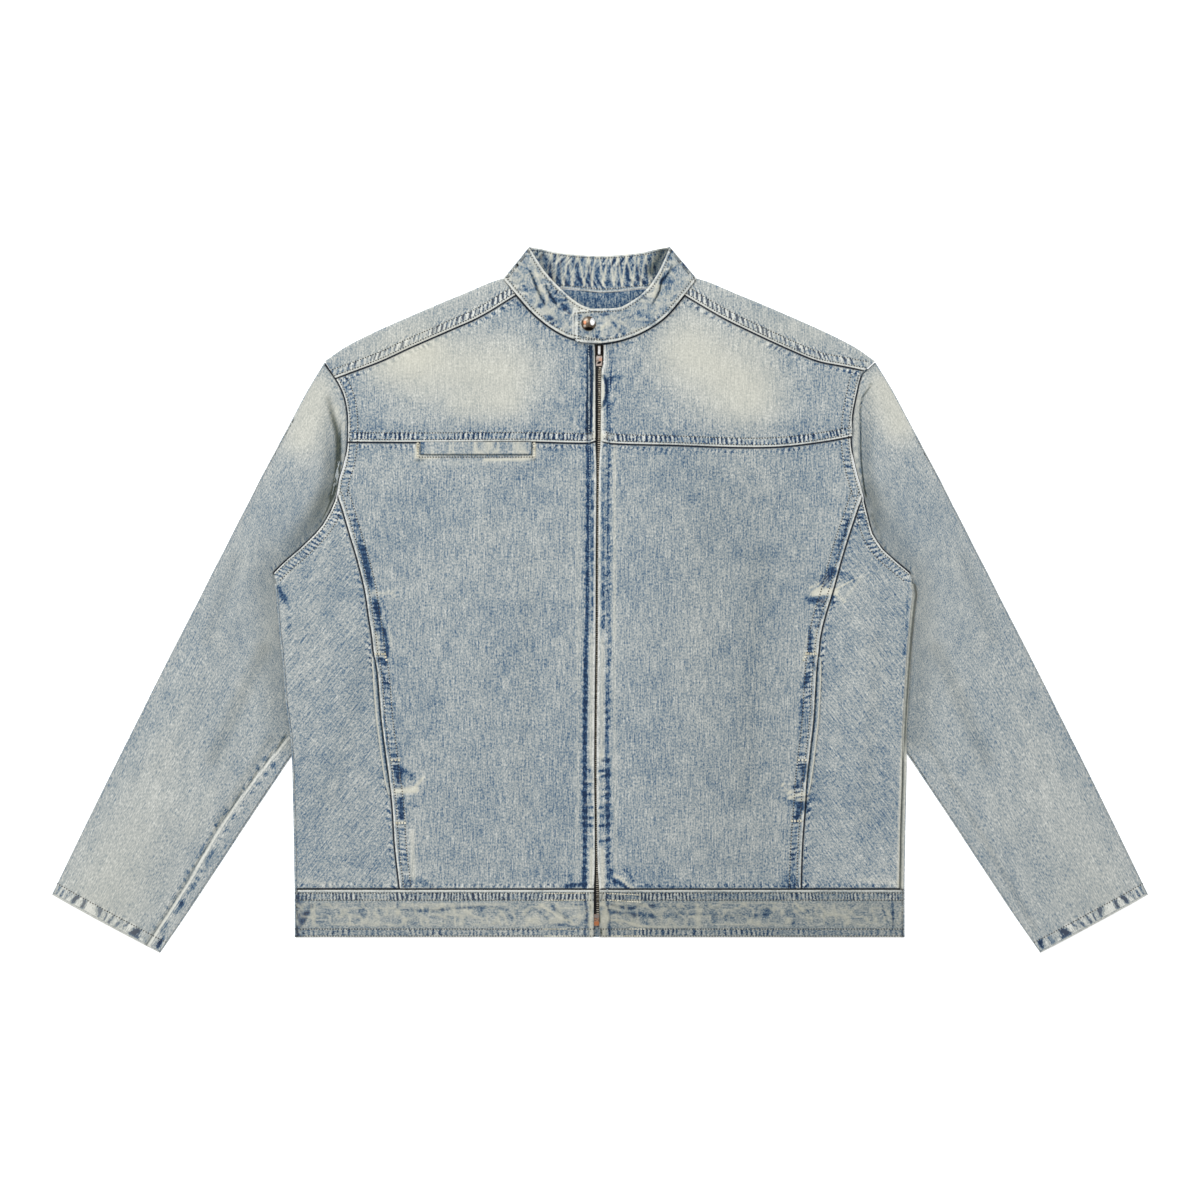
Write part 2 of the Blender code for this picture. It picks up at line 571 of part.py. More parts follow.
def build_sleeve(side, collection, finish):
    """Sleeve: a flattened tube, open at the cuff and at the armhole."""
    sign = SIDES[side]
    outer = [Vector((sign * row.outer, row.outer_y)) for row in SLEEVE]
    inner = [Vector((sign * getattr(row, side), row.inner_y)) for row in SLEEVE]
    armhole = [row for row in ARMHOLE if row.at > TUCK_TOP] + list(TUCK)
    armhole = [outer[0]] + [Vector(point) for point in upright(armhole, side)[1:]]

    def armhole_line(lap):
        """The armhole moved into the body by lap at the side, and just clear of it at both ends."""
        moved = [armhole[0]]
        for before, point, after in zip(armhole, armhole[1:], armhole[2:]):
            outward = Vector((before.y - after.y, after.x - before.x)).normalized()
            if outward.x * sign < 0:
                outward = -outward
            share = ease((LAP_TOP - point.y) / LAP_TOP_RUN) * ease((point.y - LIFT_TOP) / LAP_END_RUN)
            clear = SEAM_CLEAR if point.y > LIFT_TOP else LOW_CLEAR
            moved.append(point + outward * (clear * (1.0 - share) - lap * share))
        return path(moved + [armhole[-1]])

    def layer(lap):
        """One wall of the sleeve: its sections, bowed near the armhole as the armhole is."""
        bow = armhole_line(lap)

        def at(along, across):
            place = along * (len(SLEEVE) - 1)
            near = max(0.0, 1.0 - place / SLEEVE_SHOULDER) ** 1.5
            section = stations(outer)(along).lerp(stations(inner)(along), across)
            return section + (bow(across) - outer[0].lerp(inner[0], across)) * near

        return at

    def inward(along, across):
        """From a fold of the sleeve square into it."""
        fold = stations(inner if across == 1.0 else outer)
        ahead, behind = fold(min(along + 0.02, 1.0)), fold(max(along - 0.02, 0.0))
        normal = Vector((behind.y - ahead.y, ahead.x - behind.x)).normalized()
        return normal if (normal.x * sign > 0) == (across == 1.0) else -normal

    front, back = layer(SLEEVE_LAP), layer(-SEAM_CLEAR)
    radius = SLEEVE_FLAT / 2.0
    ring = [(share, 90) for share in (0.0, *SLEEVE_SHARES, 1.0)] + [(1.0, 45), (1.0, 0), (1.0, -45)]
    ring += [(share, -90) for share in (1.0, *SLEEVE_SHARES[::-1], 0.0)]
    ring += [(0.0, -45), (0.0, 0), (0.0, 45), (0.0, 90)]

    def place(column, along, depth):
        across, lean = column
        wall = front if lean > 0 else back
        point = wall(along, across)
        bend = radius - depth
        if across in (0.0, 1.0):
            point = point + inward(along, across) * (radius - bend * math.cos(math.radians(lean)))
        z = radius + bend * math.sin(math.radians(lean))
        if lean == 90:
            free = ease((abs(point.x) - BULGE_START) / BULGE_RUN)
            z += SLEEVE_BULGE * free * math.sin(math.pi * across) ** BULGE_FULLNESS
        return point.x, point.y, z

    count = len(SLEEVE) - 1
    rows = sorted({*even(count), *((step + 0.5) / count for step in range(SLEEVE_SHOULDER))})
    sheet(f"sleeve_{side}", ring, rows, place, WALL, collection, finish, closed=True)


def band_lines(seams, frees):
    """Between two outlines of the same stretch: line(share, row)."""
    seam, free = path(seams), path(frees)
    return lambda share, row: seam(share).lerp(free(share), row)


def build_collar(collection, finish):
    """Stand collar in one band, folded at both sides, with its tab over the right end."""
    lines = {name: band_lines(COLLAR_SEAM[name], COLLAR_FREE[name]) for name in COLLAR_SEAM}

    def with_tab(share, row):
        """The left front with the corners of its tab end rounded."""
        point = lines["front_left"](share, row)
        return point - Vector((TAB_CORNERS.get(row, 0.0), 0.0)) if share == 1.0 else point

    stretches = [
        (lines["front_right"], 9, True), (lines["back"], COLLAR_BACK_STEPS, False), (with_tab, 12, True),
    ]

    def rise(index, x):
        over = ease((TAB_RISE_FROM - x) / (TAB_RISE_FROM - TAB_RISE_TO))
        return TAB_LIFT * over if index == 2 else 0.0

    columns, place = folded(stretches, COLLAR_TOP / 2.0, rise)
    sheet("collar", columns, COLLAR_ROWS, place, DOUBLE_WALL, collection, finish)


def build_band(collection, finish):
    """Hem band, from zip edge to zip edge round the back."""
    def line(points):
        low = path([(x, HEM_Y) for x in points])
        top = path([(x, BAND_SEAM_Y) for x in points])
        return lambda share, row: low(share).lerp(top(share), row)

    middle = BAND_MIDDLE_Y
    right, left = -read(SIDE_FOLD, middle, "right"), read(SIDE_FOLD, middle, "left")
    stretches = [
        (line([read(ZIP, middle, "right"), right]), 8, True),
        (line([right, left]), 14, False),
        (line([left, read(ZIP, middle, "left")]), 8, True),
    ]
    columns, place = folded(stretches, BAND_TOP / 2.0)
    sheet("hem_band", columns, even(3), place, DOUBLE_WALL, collection, finish)


def build_zip(collection, cloth, metal):
    """Zip tapes and the closed chain between them."""
    stops = [row.at for row in ZIP]

    def strip(name, near, far, top, low, height, wall, finish):
        picked = [y for y in stops if low < y < top]
        ys = [low] + picked[::-1] + [top]
        place_near, place_far = path([(near(y), y) for y in ys]), path([(far(y), y) for y in ys])
        outline = patch(path([place_near(0), place_far(0)]), path([place_near(1), place_far(1)]),
                        place_near, place_far)
        flat_panel(name, outline, lambda x, y: height, even(1), even(ZIP_STEPS), wall, collection, finish)

    for side, sign in SIDES.items():
        def inner(y, sign=sign):
            return read(ZIP, y, "chain") + sign * read(ZIP, y, "tape_gap")

        def outer(y, sign=sign):
            return read(ZIP, y, "chain") + sign * TAPE_REACH

        strip(f"zip_tape_{side}", inner, outer, ZIP_TOP_Y - TAPE_END_CLEAR, HEM_Y + SEAM_CLEAR, FRONT_BASE,
              TAPE_WALL, cloth)

    def chain(sign):
        return lambda y: read(ZIP, y, "chain") + sign * CHAIN_WIDTH / 2.0

    strip("zip_chain", chain(-1.0), chain(1.0), CHAIN_TOP_Y, CHAIN_END_Y,
          FRONT_BASE + WALL - CHAIN_DEPTH, CHAIN_DEPTH, metal)


def outline_curve(name, loops, half_depth):
    """A flat outline, with any further loops as holes, extruded both ways."""
    curve = bpy.data.curves.new(name, "CURVE")
    curve.dimensions = "2D"
    curve.fill_mode = "BOTH"
    curve.extrude = half_depth * MM
    for loop in loops:
        spline = curve.splines.new("POLY")
        spline.points.add(len(loop) - 1)
        for point, (x, y) in zip(spline.points, loop):
            point.co = (x * MM, y * MM, 0.0, 1.0)
        spline.use_cyclic_u = True
    return curve


def rounded(x0, x1, y0, y1, radius, steps=3):
    """A rectangle's outline with round corners."""
    loop = []
    for cx, cy, start in ((x1 - radius, y1 - radius, 0), (x0 + radius, y1 - radius, 90),
                          (x0 + radius, y0 + radius, 180), (x1 - radius, y0 + radius, 270)):
        for step in range(steps + 1):
            angle = math.radians(start + 90 * step / steps)
            loop.append((cx + radius * math.cos(angle), cy + radius * math.sin(angle)))
    return loop


def as_mesh(made):
    """Turns a curve object into a welded mesh object in the same place."""
    mesh = bpy.data.meshes.new_from_object(made.evaluated_get(bpy.context.evaluated_depsgraph_get()))
    bm = bmesh.new()
    bm.from_mesh(mesh)
    bmesh.ops.remove_doubles(bm, verts=bm.verts, dist=1e-6)
    bm.to_mesh(mesh)
    bm.free()
    solid = bpy.data.objects.new(made.name + "_solid", mesh)
    solid.matrix_world = made.matrix_world.copy()
    name = made.name
    bpy.data.objects.remove(made)
    solid.name = name
    return solid


def build_pull(collection, metal):
    """Pull tab, a flat plate with an eye round the slider's bridge; it turns about its own bar."""
    half, bar = PULL["width"] / 2.0, PULL["bar"]
    eye = PULL_EYE["width"] / 2.0
    plate = rounded(-half, half, -PULL["length"], bar, 0.55)
    window = rounded(-eye, eye, -bar - PULL_EYE["length"], -bar, 0.2, steps=1)
    hole = []
    for step in range(16):
        angle = math.tau * step / 16
        x, y = PULL_HOLE["long"] / 2.0 * math.cos(angle), PULL_HOLE["short"] / 2.0 * math.sin(angle)
        turn = PULL_HOLE["slant"]
        hole.append((x * math.cos(turn) - y * math.sin(turn),
                     PULL_HOLE["y"] + x * math.sin(turn) + y * math.cos(turn)))
    curve = outline_curve("zip_pull", [plate, window, hole], PULL["wall"] / 2.0)
    made = add("zip_pull", curve, collection, metal)
    made.location = Vector((PULL["x"], PULL["y"], PULL["z"])) * MM


def build_slider(collection, guides, metal):
    """Slider body, tapered towards the closed chain, with a bridge for the pull."""
    low, top = SLIDER["z"]
    wide, narrow = SLIDER["wide"] / 2.0, SLIDER["narrow"] / 2.0
    y0, y1 = SLIDER["low_y"], SLIDER["top_y"]
    taper_y0, taper_y1, corner = y0 + SLIDER["taper_from"], y1 - SLIDER["taper_to"], SLIDER["corner"]
    body_loop = [(narrow, y0), (narrow, taper_y0), (wide, taper_y1), (wide - corner, y1),
                 (-wide + corner, y1), (-wide, taper_y1), (-narrow, taper_y0), (-narrow, y0)]
    body = add("zip_slider", outline_curve("zip_slider", [body_loop], (top - low) / 2.0), collection, metal)
    body.location = Vector((PULL["x"], 0.0, (low + top) / 2.0)) * MM

    b0, b1 = BRIDGE["y"]
    wall, crown, corner, root = BRIDGE["wall"], BRIDGE["top"], BRIDGE["corner"], top - BRIDGE["root"]
    frame = [(b0, root), (b0, crown - corner), (b0 + corner, crown),
             (b1 - corner, crown), (b1, crown - corner), (b1, root)]
    inside = [(b1 - wall, root), (b1 - wall, crown - wall), (b0 + wall, crown - wall), (b0 + wall, root)]
    bridge = add("bridge", outline_curve("bridge", [frame + inside], BRIDGE["width"] / 2.0), guides, metal)
    bridge.rotation_euler = (math.radians(90), 0.0, math.radians(90))
    bridge.location.x = PULL["x"] * MM
    bpy.context.view_layer.update()
    body, bridge = as_mesh(body), as_mesh(bridge)
    collection.objects.link(body)
    guides.objects.link(bridge)
    bridge.hide_render = True
    bridge.display_type = "WIRE"
    join = body.modifiers.new("Bridge", "BOOLEAN")
    join.operation = "UNION"
    join.solver = "EXACT"
    join.object = bridge


def build_box(collection, metal):
    """Retainer box at the foot of the chain."""
    (top, low), (z0, z1), half = BOX["y"], BOX["z"], BOX["width"] / 2.0
    curve = outline_curve("zip_box", [rounded(-half, half, low, top, 0.8)], (z1 - z0) / 2.0)
    made = add("zip_box", curve, collection, metal)
    made.location = Vector((read(ZIP, (top + low) / 2.0, "chain"), 0.0, (z0 + z1) / 2.0)) * MM


def build_snap(collection, metal):
    """Domed cap of the snap on the collar tab, turned round its own axis."""
    bm = bmesh.new()
    steps = 6
    profile = [(0.0, SNAP["rim"] + SNAP["rise"])]
    for step in range(1, steps + 1):
        angle = math.radians(90 * step / steps)
        profile.append((SNAP["radius"] * math.sin(angle), SNAP["rim"] + SNAP["rise"] * math.cos(angle)))
    profile += [(SNAP["radius"], 0.0), (0.0, 0.0)]
    verts = [bm.verts.new((r * MM, 0.0, z * MM)) for r, z in profile]
    for start, end in zip(verts, verts[1:]):
        bm.edges.new((start, end))
    mesh = bpy.data.meshes.new("snap_cap")
    bm.to_mesh(mesh)
    bm.free()
    made = add("snap_cap", mesh, collection, metal)
    made.location = Vector((SNAP["x"], SNAP["y"], COLLAR_TOP + TAB_LIFT + GAP)) * MM
    turned = made.modifiers.new("Turned", "SCREW")
    turned.steps = turned.render_steps = 24
    turned.use_merge_vertices = True
    turned.merge_threshold = 0.00001
    turned.use_smooth_shade = True


def main():
    for made in list(bpy.data.objects):
        bpy.data.objects.remove(made)
    jacket = bpy.data.collections.new("denim_jacket")
    guides = bpy.data.collections.new("guides")
    for group in (jacket, guides):
        bpy.context.scene.collection.children.link(group)

    body, sleeves = material("denim_body"), material("denim_sleeve")
    trim, back = material("denim_trim"), material("denim_back")
    tape = material("zip_tape")
    zip_metal = material("zip_metal", metallic=1.0, roughness=0.35)
    snap_metal = material("snap_metal", metallic=1.0, roughness=0.15)

    build_back(jacket, back)
    for side in SIDES:
        build_shoulder(side, jacket, body)
        build_yoke(side, jacket, body)
        build_centre(side, jacket, body)
        build_side(side, jacket, body)
        build_facing(side, jacket, trim)
        build_sleeve(side, jacket, sleeves)
    build_welt(jacket, trim)
    build_collar(jacket, trim)
    build_band(jacket, trim)
    build_zip(jacket, tape, zip_metal)
    build_slider(jacket, guides, zip_metal)
    build_pull(jacket, zip_metal)
    build_box(jacket, zip_metal)
    build_snap(jacket, snap_metal)


main()
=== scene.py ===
"""Washed denim jacket, zipped up and laid flat on its back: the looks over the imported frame."""
from __future__ import annotations

import json
import logging
import math
from collections import namedtuple
from dataclasses import dataclass
from enum import Enum, StrEnum
from typing import Callable, Sequence

import bpy
import numpy as np

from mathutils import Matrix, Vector
from mathutils.bvhtree import BVHTree

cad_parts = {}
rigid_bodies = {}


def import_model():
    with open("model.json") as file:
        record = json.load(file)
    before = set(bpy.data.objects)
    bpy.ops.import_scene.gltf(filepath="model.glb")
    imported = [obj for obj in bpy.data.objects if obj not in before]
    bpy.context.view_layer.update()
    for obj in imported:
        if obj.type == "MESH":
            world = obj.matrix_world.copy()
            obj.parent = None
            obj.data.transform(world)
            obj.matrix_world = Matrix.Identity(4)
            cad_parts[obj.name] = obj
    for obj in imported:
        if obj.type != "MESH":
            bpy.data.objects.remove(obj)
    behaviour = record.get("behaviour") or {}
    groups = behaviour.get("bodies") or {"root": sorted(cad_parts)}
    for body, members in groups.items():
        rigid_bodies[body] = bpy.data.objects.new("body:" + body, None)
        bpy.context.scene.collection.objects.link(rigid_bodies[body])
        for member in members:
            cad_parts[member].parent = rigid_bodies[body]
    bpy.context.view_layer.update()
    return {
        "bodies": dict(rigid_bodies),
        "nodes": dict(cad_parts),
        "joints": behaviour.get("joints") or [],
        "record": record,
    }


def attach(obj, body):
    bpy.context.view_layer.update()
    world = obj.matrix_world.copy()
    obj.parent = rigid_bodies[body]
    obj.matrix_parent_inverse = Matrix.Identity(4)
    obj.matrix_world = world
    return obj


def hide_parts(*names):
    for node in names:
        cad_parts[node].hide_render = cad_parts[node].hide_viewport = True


LOG = logging.getLogger("denim_jacket")
MM = 0.001
Row = namedtuple("Row", "at right left")
Array, Object, Material = np.ndarray, bpy.types.Object, bpy.types.Material
Node, Socket, Tree = bpy.types.Node, bpy.types.NodeSocket, bpy.types.NodeTree


class Side(StrEnum):
    """Side of the wearer, as the pieces and the columns of the tables are named."""

    RIGHT = "right"
    LEFT = "left"


class Yarn(Enum):
    """Thread that a row is sewn with."""

    WORN = "worn"
    PALE = "pale"
    FRESH = "fresh"


SIDES = {Side.RIGHT: -1.0, Side.LEFT: 1.0}

# ---------------------------------------------------------------- sizes, in millimetres

WALL, GAP, PLY, DOUBLE_WALL = 1.2, 0.3, 1.5, 2.4
LAP, SEAM_CLEAR, LOW_CLEAR = 10.0, 0.5, 1.5
SLEEVE_FLAT, BODY_LIFT, FRONT_BASE, FRONT_LIFT = 3.0, 3.3, 3.3, 2.0
COLLAR_TOP, BAND_TOP = 8.7, 7.2
LIFT_INNER, LIFT_OUTER = 210.0, 260.0
LIFT_TOP, LIFT_TOP_RUN, LIFT_END, LIFT_END_RUN = 150.0, 40.0, -235.0, 65.0
BAND_SEAM_Y, HEM_Y, ZIP_TOP_Y, SIDE_FRONT_TOP_Y = -290.0, -337.5, 262.0, 107.5
WRAP_TOP = 17.0
SIDE_RETURN = {"right": 0.4, "left": 2.4}

ARMHOLE = (
    Row(238, 276, 268), Row(223, 265, 260.5), Row(205, 256, 256), Row(184, 252, 252),
    Row(159, 252, 250.6), Row(137, 255, 253.5), Row(120, 260, 257.7), Row(106, 262, 262),
    Row(89, 269, 266), Row(75, 277, 269.5), Row(66, 284.5, 272.3), Row(51, 300, 282),
    Row(39, 314, 295), Row(27, 326.4, 309.6),
)
SIDE_FOLD = (
    Row(27, 326.4, 309.6), Row(17, 325.5, 315.4), Row(6, 324.3, 317.5), Row(-10, 323, 315.5),
    Row(-38, 320.5, 312.5), Row(-70, 317, 310.3), Row(-100, 315, 308.5), Row(-135, 310, 306.5),
    Row(-165, 308, 307), Row(-285, 306, 305), Row(-337.5, 305.5, 305),
)
FRONT_SEAM = (
    Row(106, 262, 262), Row(90, 257, 257), Row(66, 250, 249), Row(40, 242.3, 241), Row(10, 235, 233),
    Row(-17, 231, 224.7), Row(-36, 228, 220.3), Row(-51, 226.4, 218.6), Row(-73, 222.4, 216.3),
    Row(-120, 218.4, 213.5), Row(-177, 211, 207), Row(-206, 207.5, 204.9), Row(-246, 205, 202),
    Row(-290, 200, 200.5),
)
YOKE_SEAM = (
    Row(4, 159.5, 159), Row(12, 157.5, 157), Row(72, 158.6, 155.3), Row(143, 158.3, 153),
    Row(184, 158.2, 154), Row(225, 158.3, 159), Row(252, 158.5, 164),
)
SHOULDER_SEAM = (
    Row(84.5, 305.5, 305.5), Row(120, 284, 284.5), Row(150, 270.5, 269.5), Row(190, 253, 251),
    Row(218, 240, 239.5), Row(240, 231.5, 235), Row(264.6, 222.7, 230.4),
)
SHOULDER_FOLD = (
    Row(97.5, 322, 322), Row(110, 318, 318), Row(138, 306, 306), Row(153, 300, 300),
    Row(188, 285, 285), Row(222, 270, 270), Row(252, 255, 255), Row(274.6, 240.8, 240.6),
)
SHOULDER_RETURN = 12.0
YOKE_TAPE_END, YOKE_TAPE_RUN, YOKE_RISE_TOP, YOKE_RISE_RUN = 62.0, 38.0, 222.0, 50.0
YOKE_ARM_TOP, YOKE_TUCK, STATION_CLEAR = 229.0, 7.0, 3.0
YOKE_NECK = ((80, 308), (63, 290), (44, 276), (26, 266))
TUCK = (
    Row(88, 266.5, 263.5), Row(70, 270, 266.5), Row(50, 274, 269.5), Row(30, 277, 271),
    Row(12, 277.5, 270),
)
TUCK_TOP = 100.0
Section = namedtuple("Section", "outer outer_y inner_y right left")
SLEEVE = (
    Section(276, 238, 12, 277, 270), Section(293, 210, -2, 281.5, 274),
    Section(309, 180, -16, 285, 278.5), Section(325, 150, -32, 288, 283),
    Section(341, 120, -48, 290, 286.5), Section(352, 98, -64, 291.2, 289),
    Section(364, 75, -80, 291.5, 291), Section(376, 51, -95, 292, 292),
    Section(389, 26, -112, 292.5, 292.5), Section(402, 0, -131, 293, 293),
    Section(417.5, -30, -155, 308, 308), Section(440.5, -75, -189.5, 331, 331),
    Section(464.5, -123, -227, 356, 356), Section(493, -180, -269.5, 384, 384),
    Section(520.5, -236, -311, 411.5, 411.5), Section(549, -295, -353.5, 440.6, 441),
)
SLEEVE_SHOULDER, SLEEVE_LAP = 6, 6.0
LAP_TOP, LAP_TOP_RUN, LAP_END_RUN = 218.0, 14.0, 30.0
SLEEVE_BULGE, BULGE_START, BULGE_RUN, BULGE_FULLNESS = 2.4, 332.0, 70.0, 0.7
ZipRow = namedtuple("ZipRow", "at chain right left tape_gap")
ZIP = (
    ZipRow(262, -0.8, -5.2, 3.4, 5.3), ZipRow(236.5, -0.9, -5, 3.2, 5.3),
    ZipRow(230, -1.6, -4.8, 1.6, 2.8), ZipRow(160, -2, -4.6, 0.6, 2.8),
    ZipRow(130, -2.4, -3.7, -1, 2.8), ZipRow(40, -3, -4.2, -1.8, 2.8),
    ZipRow(-40, -3.4, -4.6, -2.2, 2.8), ZipRow(-160, -4.6, -5.8, -3.4, 2.8),
    ZipRow(-260, -3.8, -5.1, -2.5, 2.8), ZipRow(-290, -3.6, -6.2, -0.9, 2.8),
    ZipRow(-337.5, -3.4, -6.3, -0.2, 3.4),
)
COLLAR_SEAM = {
    "front_right": ((2, 257), (-12, 258.5), (-29, 262), (-47, 271), (-67, 287), (-84, 306), (-97, 321.5)),
    "back": ((-97, 321.5), (-88, 311.8), (-60, 312), (-37, 312), (4, 308), (44, 312), (60, 312),
             (88, 311.8), (97, 321.5)),
    "front_left": ((97, 321.5), (84, 305), (66, 284), (46, 270), (23, 260.5), (-1, 256.5), (-25, 258)),
}
COLLAR_FREE = {
    "front_right": ((2, 290.5), (-8, 291.5), (-20.5, 296), (-37, 309), (-54, 327), (-63, 340), (-71, 353.5)),
    "back": ((-71, 353.5), (-58, 351.5), (-40, 348), (-20, 345.8), (0, 345), (20, 345.8), (40, 348),
             (58, 351.5), (70, 353.5)),
    "front_left": ((70, 353.5), (59, 329), (46, 310), (29, 297), (17.6, 292), (-4, 291), (-25, 289.5)),
}
TAB_LIFT, TAB_RISE_FROM, TAB_RISE_TO = 2.7, 34.0, 5.0
WELT_X = (-180.0, -68.0)
FACING_Y, FACING_WIDTH = (-57.0, -195.0), 5.0


# ---------------------------------------------------------------- lines and surfaces

def ease(share: Array) -> Array:
    """Smooth step from 0 to 1."""
    share = np.clip(share, 0.0, 1.0)
    return share * share * (3.0 - 2.0 * share)


def read(rows: Sequence, at: Array, name: str) -> Array:
    """One column of a table, read between its rows."""
    table = sorted((row.at, getattr(row, name)) for row in rows)
    return np.interp(at, [entry[0] for entry in table], [entry[1] for entry in table])


class Line:
    """A smooth line through points, read by its share of length or by its stations."""

    def __init__(self, points: Sequence, smooth: bool = True, by_length: bool = True) -> None:
        """Fits the line.

        Args:
            points: x and y of each point, in millimetres.
            smooth: round the corners between the points.
            by_length: read by length, otherwise each point is one step.
        """
        given = np.array([tuple(point) for point in points], float)
        self.steps = 8 if smooth and len(given) > 2 else 1
        self.points = self._rounded(given) if self.steps > 1 else given
        reach = np.hypot(*np.diff(self.points, axis=0).T)
        self.along = np.concatenate([[0.0], np.cumsum(reach)])
        self.length = float(self.along[-1])
        self.scale = self.along / self.length if by_length else np.linspace(0.0, 1.0, len(self.points))

    def _rounded(self, given: Array) -> Array:
        """Points along a cardinal spline through the given ones.

        Args:
            given: the points to go through.

        Returns:
            Points, with a few steps between the given ones.
        """
        ends = np.vstack([2 * given[0] - given[1], given, 2 * given[-1] - given[-2]])
        out = []
        for index in range(1, len(ends) - 2):
            before, start, end, after = ends[index - 1:index + 3]
            span = np.hypot(*(end - start))
            lean_in = (end - before) / max(np.hypot(*(end - before)), 1e-6) * span
            lean_out = (after - start) / max(np.hypot(*(after - start)), 1e-6) * span
            share = np.arange(self.steps)[:, None] / self.steps
            out.append((2 * share**3 - 3 * share**2 + 1) * start + (share**3 - 2 * share**2 + share) * lean_in
                       + (3 * share**2 - 2 * share**3) * end + (share**3 - share**2) * lean_out)
        return np.vstack(out + [given[-1:]])

    def __call__(self, share: Array) -> Array:
        """The points at these shares."""
        share = np.asarray(share, float)
        return np.stack([np.interp(share, self.scale, self.points[:, axis]) for axis in (0, 1)], -1)

    def nearest(self, points: Array) -> tuple[Array, Array]:
        """Distance of each point from the line, and how far along the line that is."""
        return self.sided(points)[:2]

    def beside(self, away: float, pitch: float = 1.5) -> Array:
        """Points of the line moved sideways, to its left.

        Args:
            away: how far to the left.
            pitch: spacing of the points.

        Returns:
            The moved points.
        """
        at = self(np.linspace(0, 1, max(int(self.length / pitch), 2)))
        run = np.gradient(at, axis=0)
        run = run / np.maximum(np.linalg.norm(run, axis=1, keepdims=True), 1e-9)
        return at + away * np.stack([-run[:, 1], run[:, 0]], -1)

    def sided(self, points: Array) -> tuple[Array, Array, Array]:
        """Distance, place along, and on which side of the line each point is.

        Args:
            points: x and y of the points.

        Returns:
            The three values for each point; the side is 1, -1 or 0.
        """
        flat = points.reshape(-1, 2)
        start, end = self.points[:-1], self.points[1:]
        span = end - start
        size = np.maximum((span**2).sum(1), 1e-9)
        distance, along, side = np.empty((3, len(flat)))
        for low in range(0, len(flat), 8192):
            part = flat[low:low + 8192]
            offset = part[:, None, :] - start
            share = np.clip((offset * span).sum(2) / size, 0.0, 1.0)
            away = np.hypot(*np.moveaxis(offset - share[..., None] * span, 2, 0))
            best = away.argmin(1)
            pick = np.arange(len(part)), best
            distance[low:low + 8192] = away[pick]
            along[low:low + 8192] = self.along[best] + share[pick] * np.sqrt(size[best])
            side[low:low + 8192] = np.sign(span[best, 0] * offset[pick][:, 1]
                                           - span[best, 1] * offset[pick][:, 0])
        return tuple(value.reshape(points.shape[:-1]) for value in (distance, along, side))


def patch(lower: Line, upper: Line, near: Line, far: Line, across: Array, up: Array) -> Array:
    """Points of the surface between four edge lines.

    Args:
        lower: edge across at the start of up.
        upper: edge across at the end of up.
        near: edge up at the start of across.
        far: edge up at the end of across.
        across: shares across.
        up: shares up.

    Returns:
        Rows by columns by 2.
    """
    u, v = across[None, :, None], up[:, None, None]
    corners = [line(share)[None, None, :] for line, share in ((lower, 0), (lower, 1), (upper, 0), (upper, 1))]
    blend = lower(across)[None] * (1 - v) + upper(across)[None] * v
    blend = blend + near(up)[:, None] * (1 - u) + far(up)[:, None] * u
    return blend - ((corners[0] * (1 - u) + corners[1] * u) * (1 - v)
                    + (corners[2] * (1 - u) + corners[3] * u) * v)


def spaced(length: float, fine: float, coarse: float, near: float = 0.0, far: float = 0.0) -> Array:
    """Shares of a length, finer over the stretches near its start and its end.

    Args:
        length: in millimetres.
        fine: step near the ends.
        coarse: step between them.
        near: fine stretch at the start.
        far: fine stretch at the end.

    Returns:
        Shares from 0 to 1.
    """
    stops = [0.0]
    while stops[-1] < length:
        inside = stops[-1] < near or length - stops[-1] < far
        stops.append(stops[-1] + (fine if inside else coarse))
    return np.array(stops) / stops[-1]


def noise(x: Array, y: Array, seed: int) -> Array:
    """Smooth noise from 0 to 1, one lump per unit.

    Args:
        x: place across.
        y: place along.
        seed: of the pattern.

    Returns:
        A value for each place.
    """
    table = np.random.default_rng(seed).random((64, 64))
    x0, y0 = np.floor(x).astype(int), np.floor(y).astype(int)
    u, v = ease(x - x0), ease(y - y0)
    low = table[x0 % 64, y0 % 64] * (1 - u) + table[(x0 + 1) % 64, y0 % 64] * u
    high = table[x0 % 64, (y0 + 1) % 64] * (1 - u) + table[(x0 + 1) % 64, (y0 + 1) % 64] * u
    return low * (1 - v) + high * v


def lifted(x: Array, y: Array) -> Array:
    """How much the sleeve folded under the body lifts it here, from 0 to 1."""
    across = ease((np.abs(x) - LIFT_INNER) / (LIFT_OUTER - LIFT_INNER))
    return across * ease((LIFT_TOP - y) / LIFT_TOP_RUN) * ease((y - LIFT_END) / LIFT_END_RUN)


def back_height(x: Array, y: Array) -> Array:
    """Under face of the back."""
    return BODY_LIFT * lifted(x, y)


def front_height(x: Array, y: Array) -> Array:
    """Under face of the lowest front layer."""
    return FRONT_BASE + FRONT_LIFT * lifted(x, y)


def yoke_height(x: Array, y: Array) -> Array:
    """Under face of the yoke.

    Args:
        x: in millimetres.
        y: the same.

    Returns:
        Heights in millimetres.
    """
    over_tape = ease((YOKE_TAPE_END - np.abs(x)) / YOKE_TAPE_RUN)
    over_seam = ease((YOKE_RISE_TOP - y) / YOKE_RISE_RUN)
    return front_height(x, y) + PLY * (over_tape + (2.0 - over_tape) * over_seam)


def upright(rows: Sequence, side: Side, reach: float = 0.0) -> list:
    """Points of a table whose rows go by y."""
    return [(SIDES[side] * (getattr(row, side) + reach), row.at) for row in rows]


def level(rows: Sequence, side: Side, shift: float = 0.0) -> list:
    """Points of a table whose rows go by the distance from the centre line."""
    return [(SIDES[side] * row.at, getattr(row, side) + shift) for row in rows]


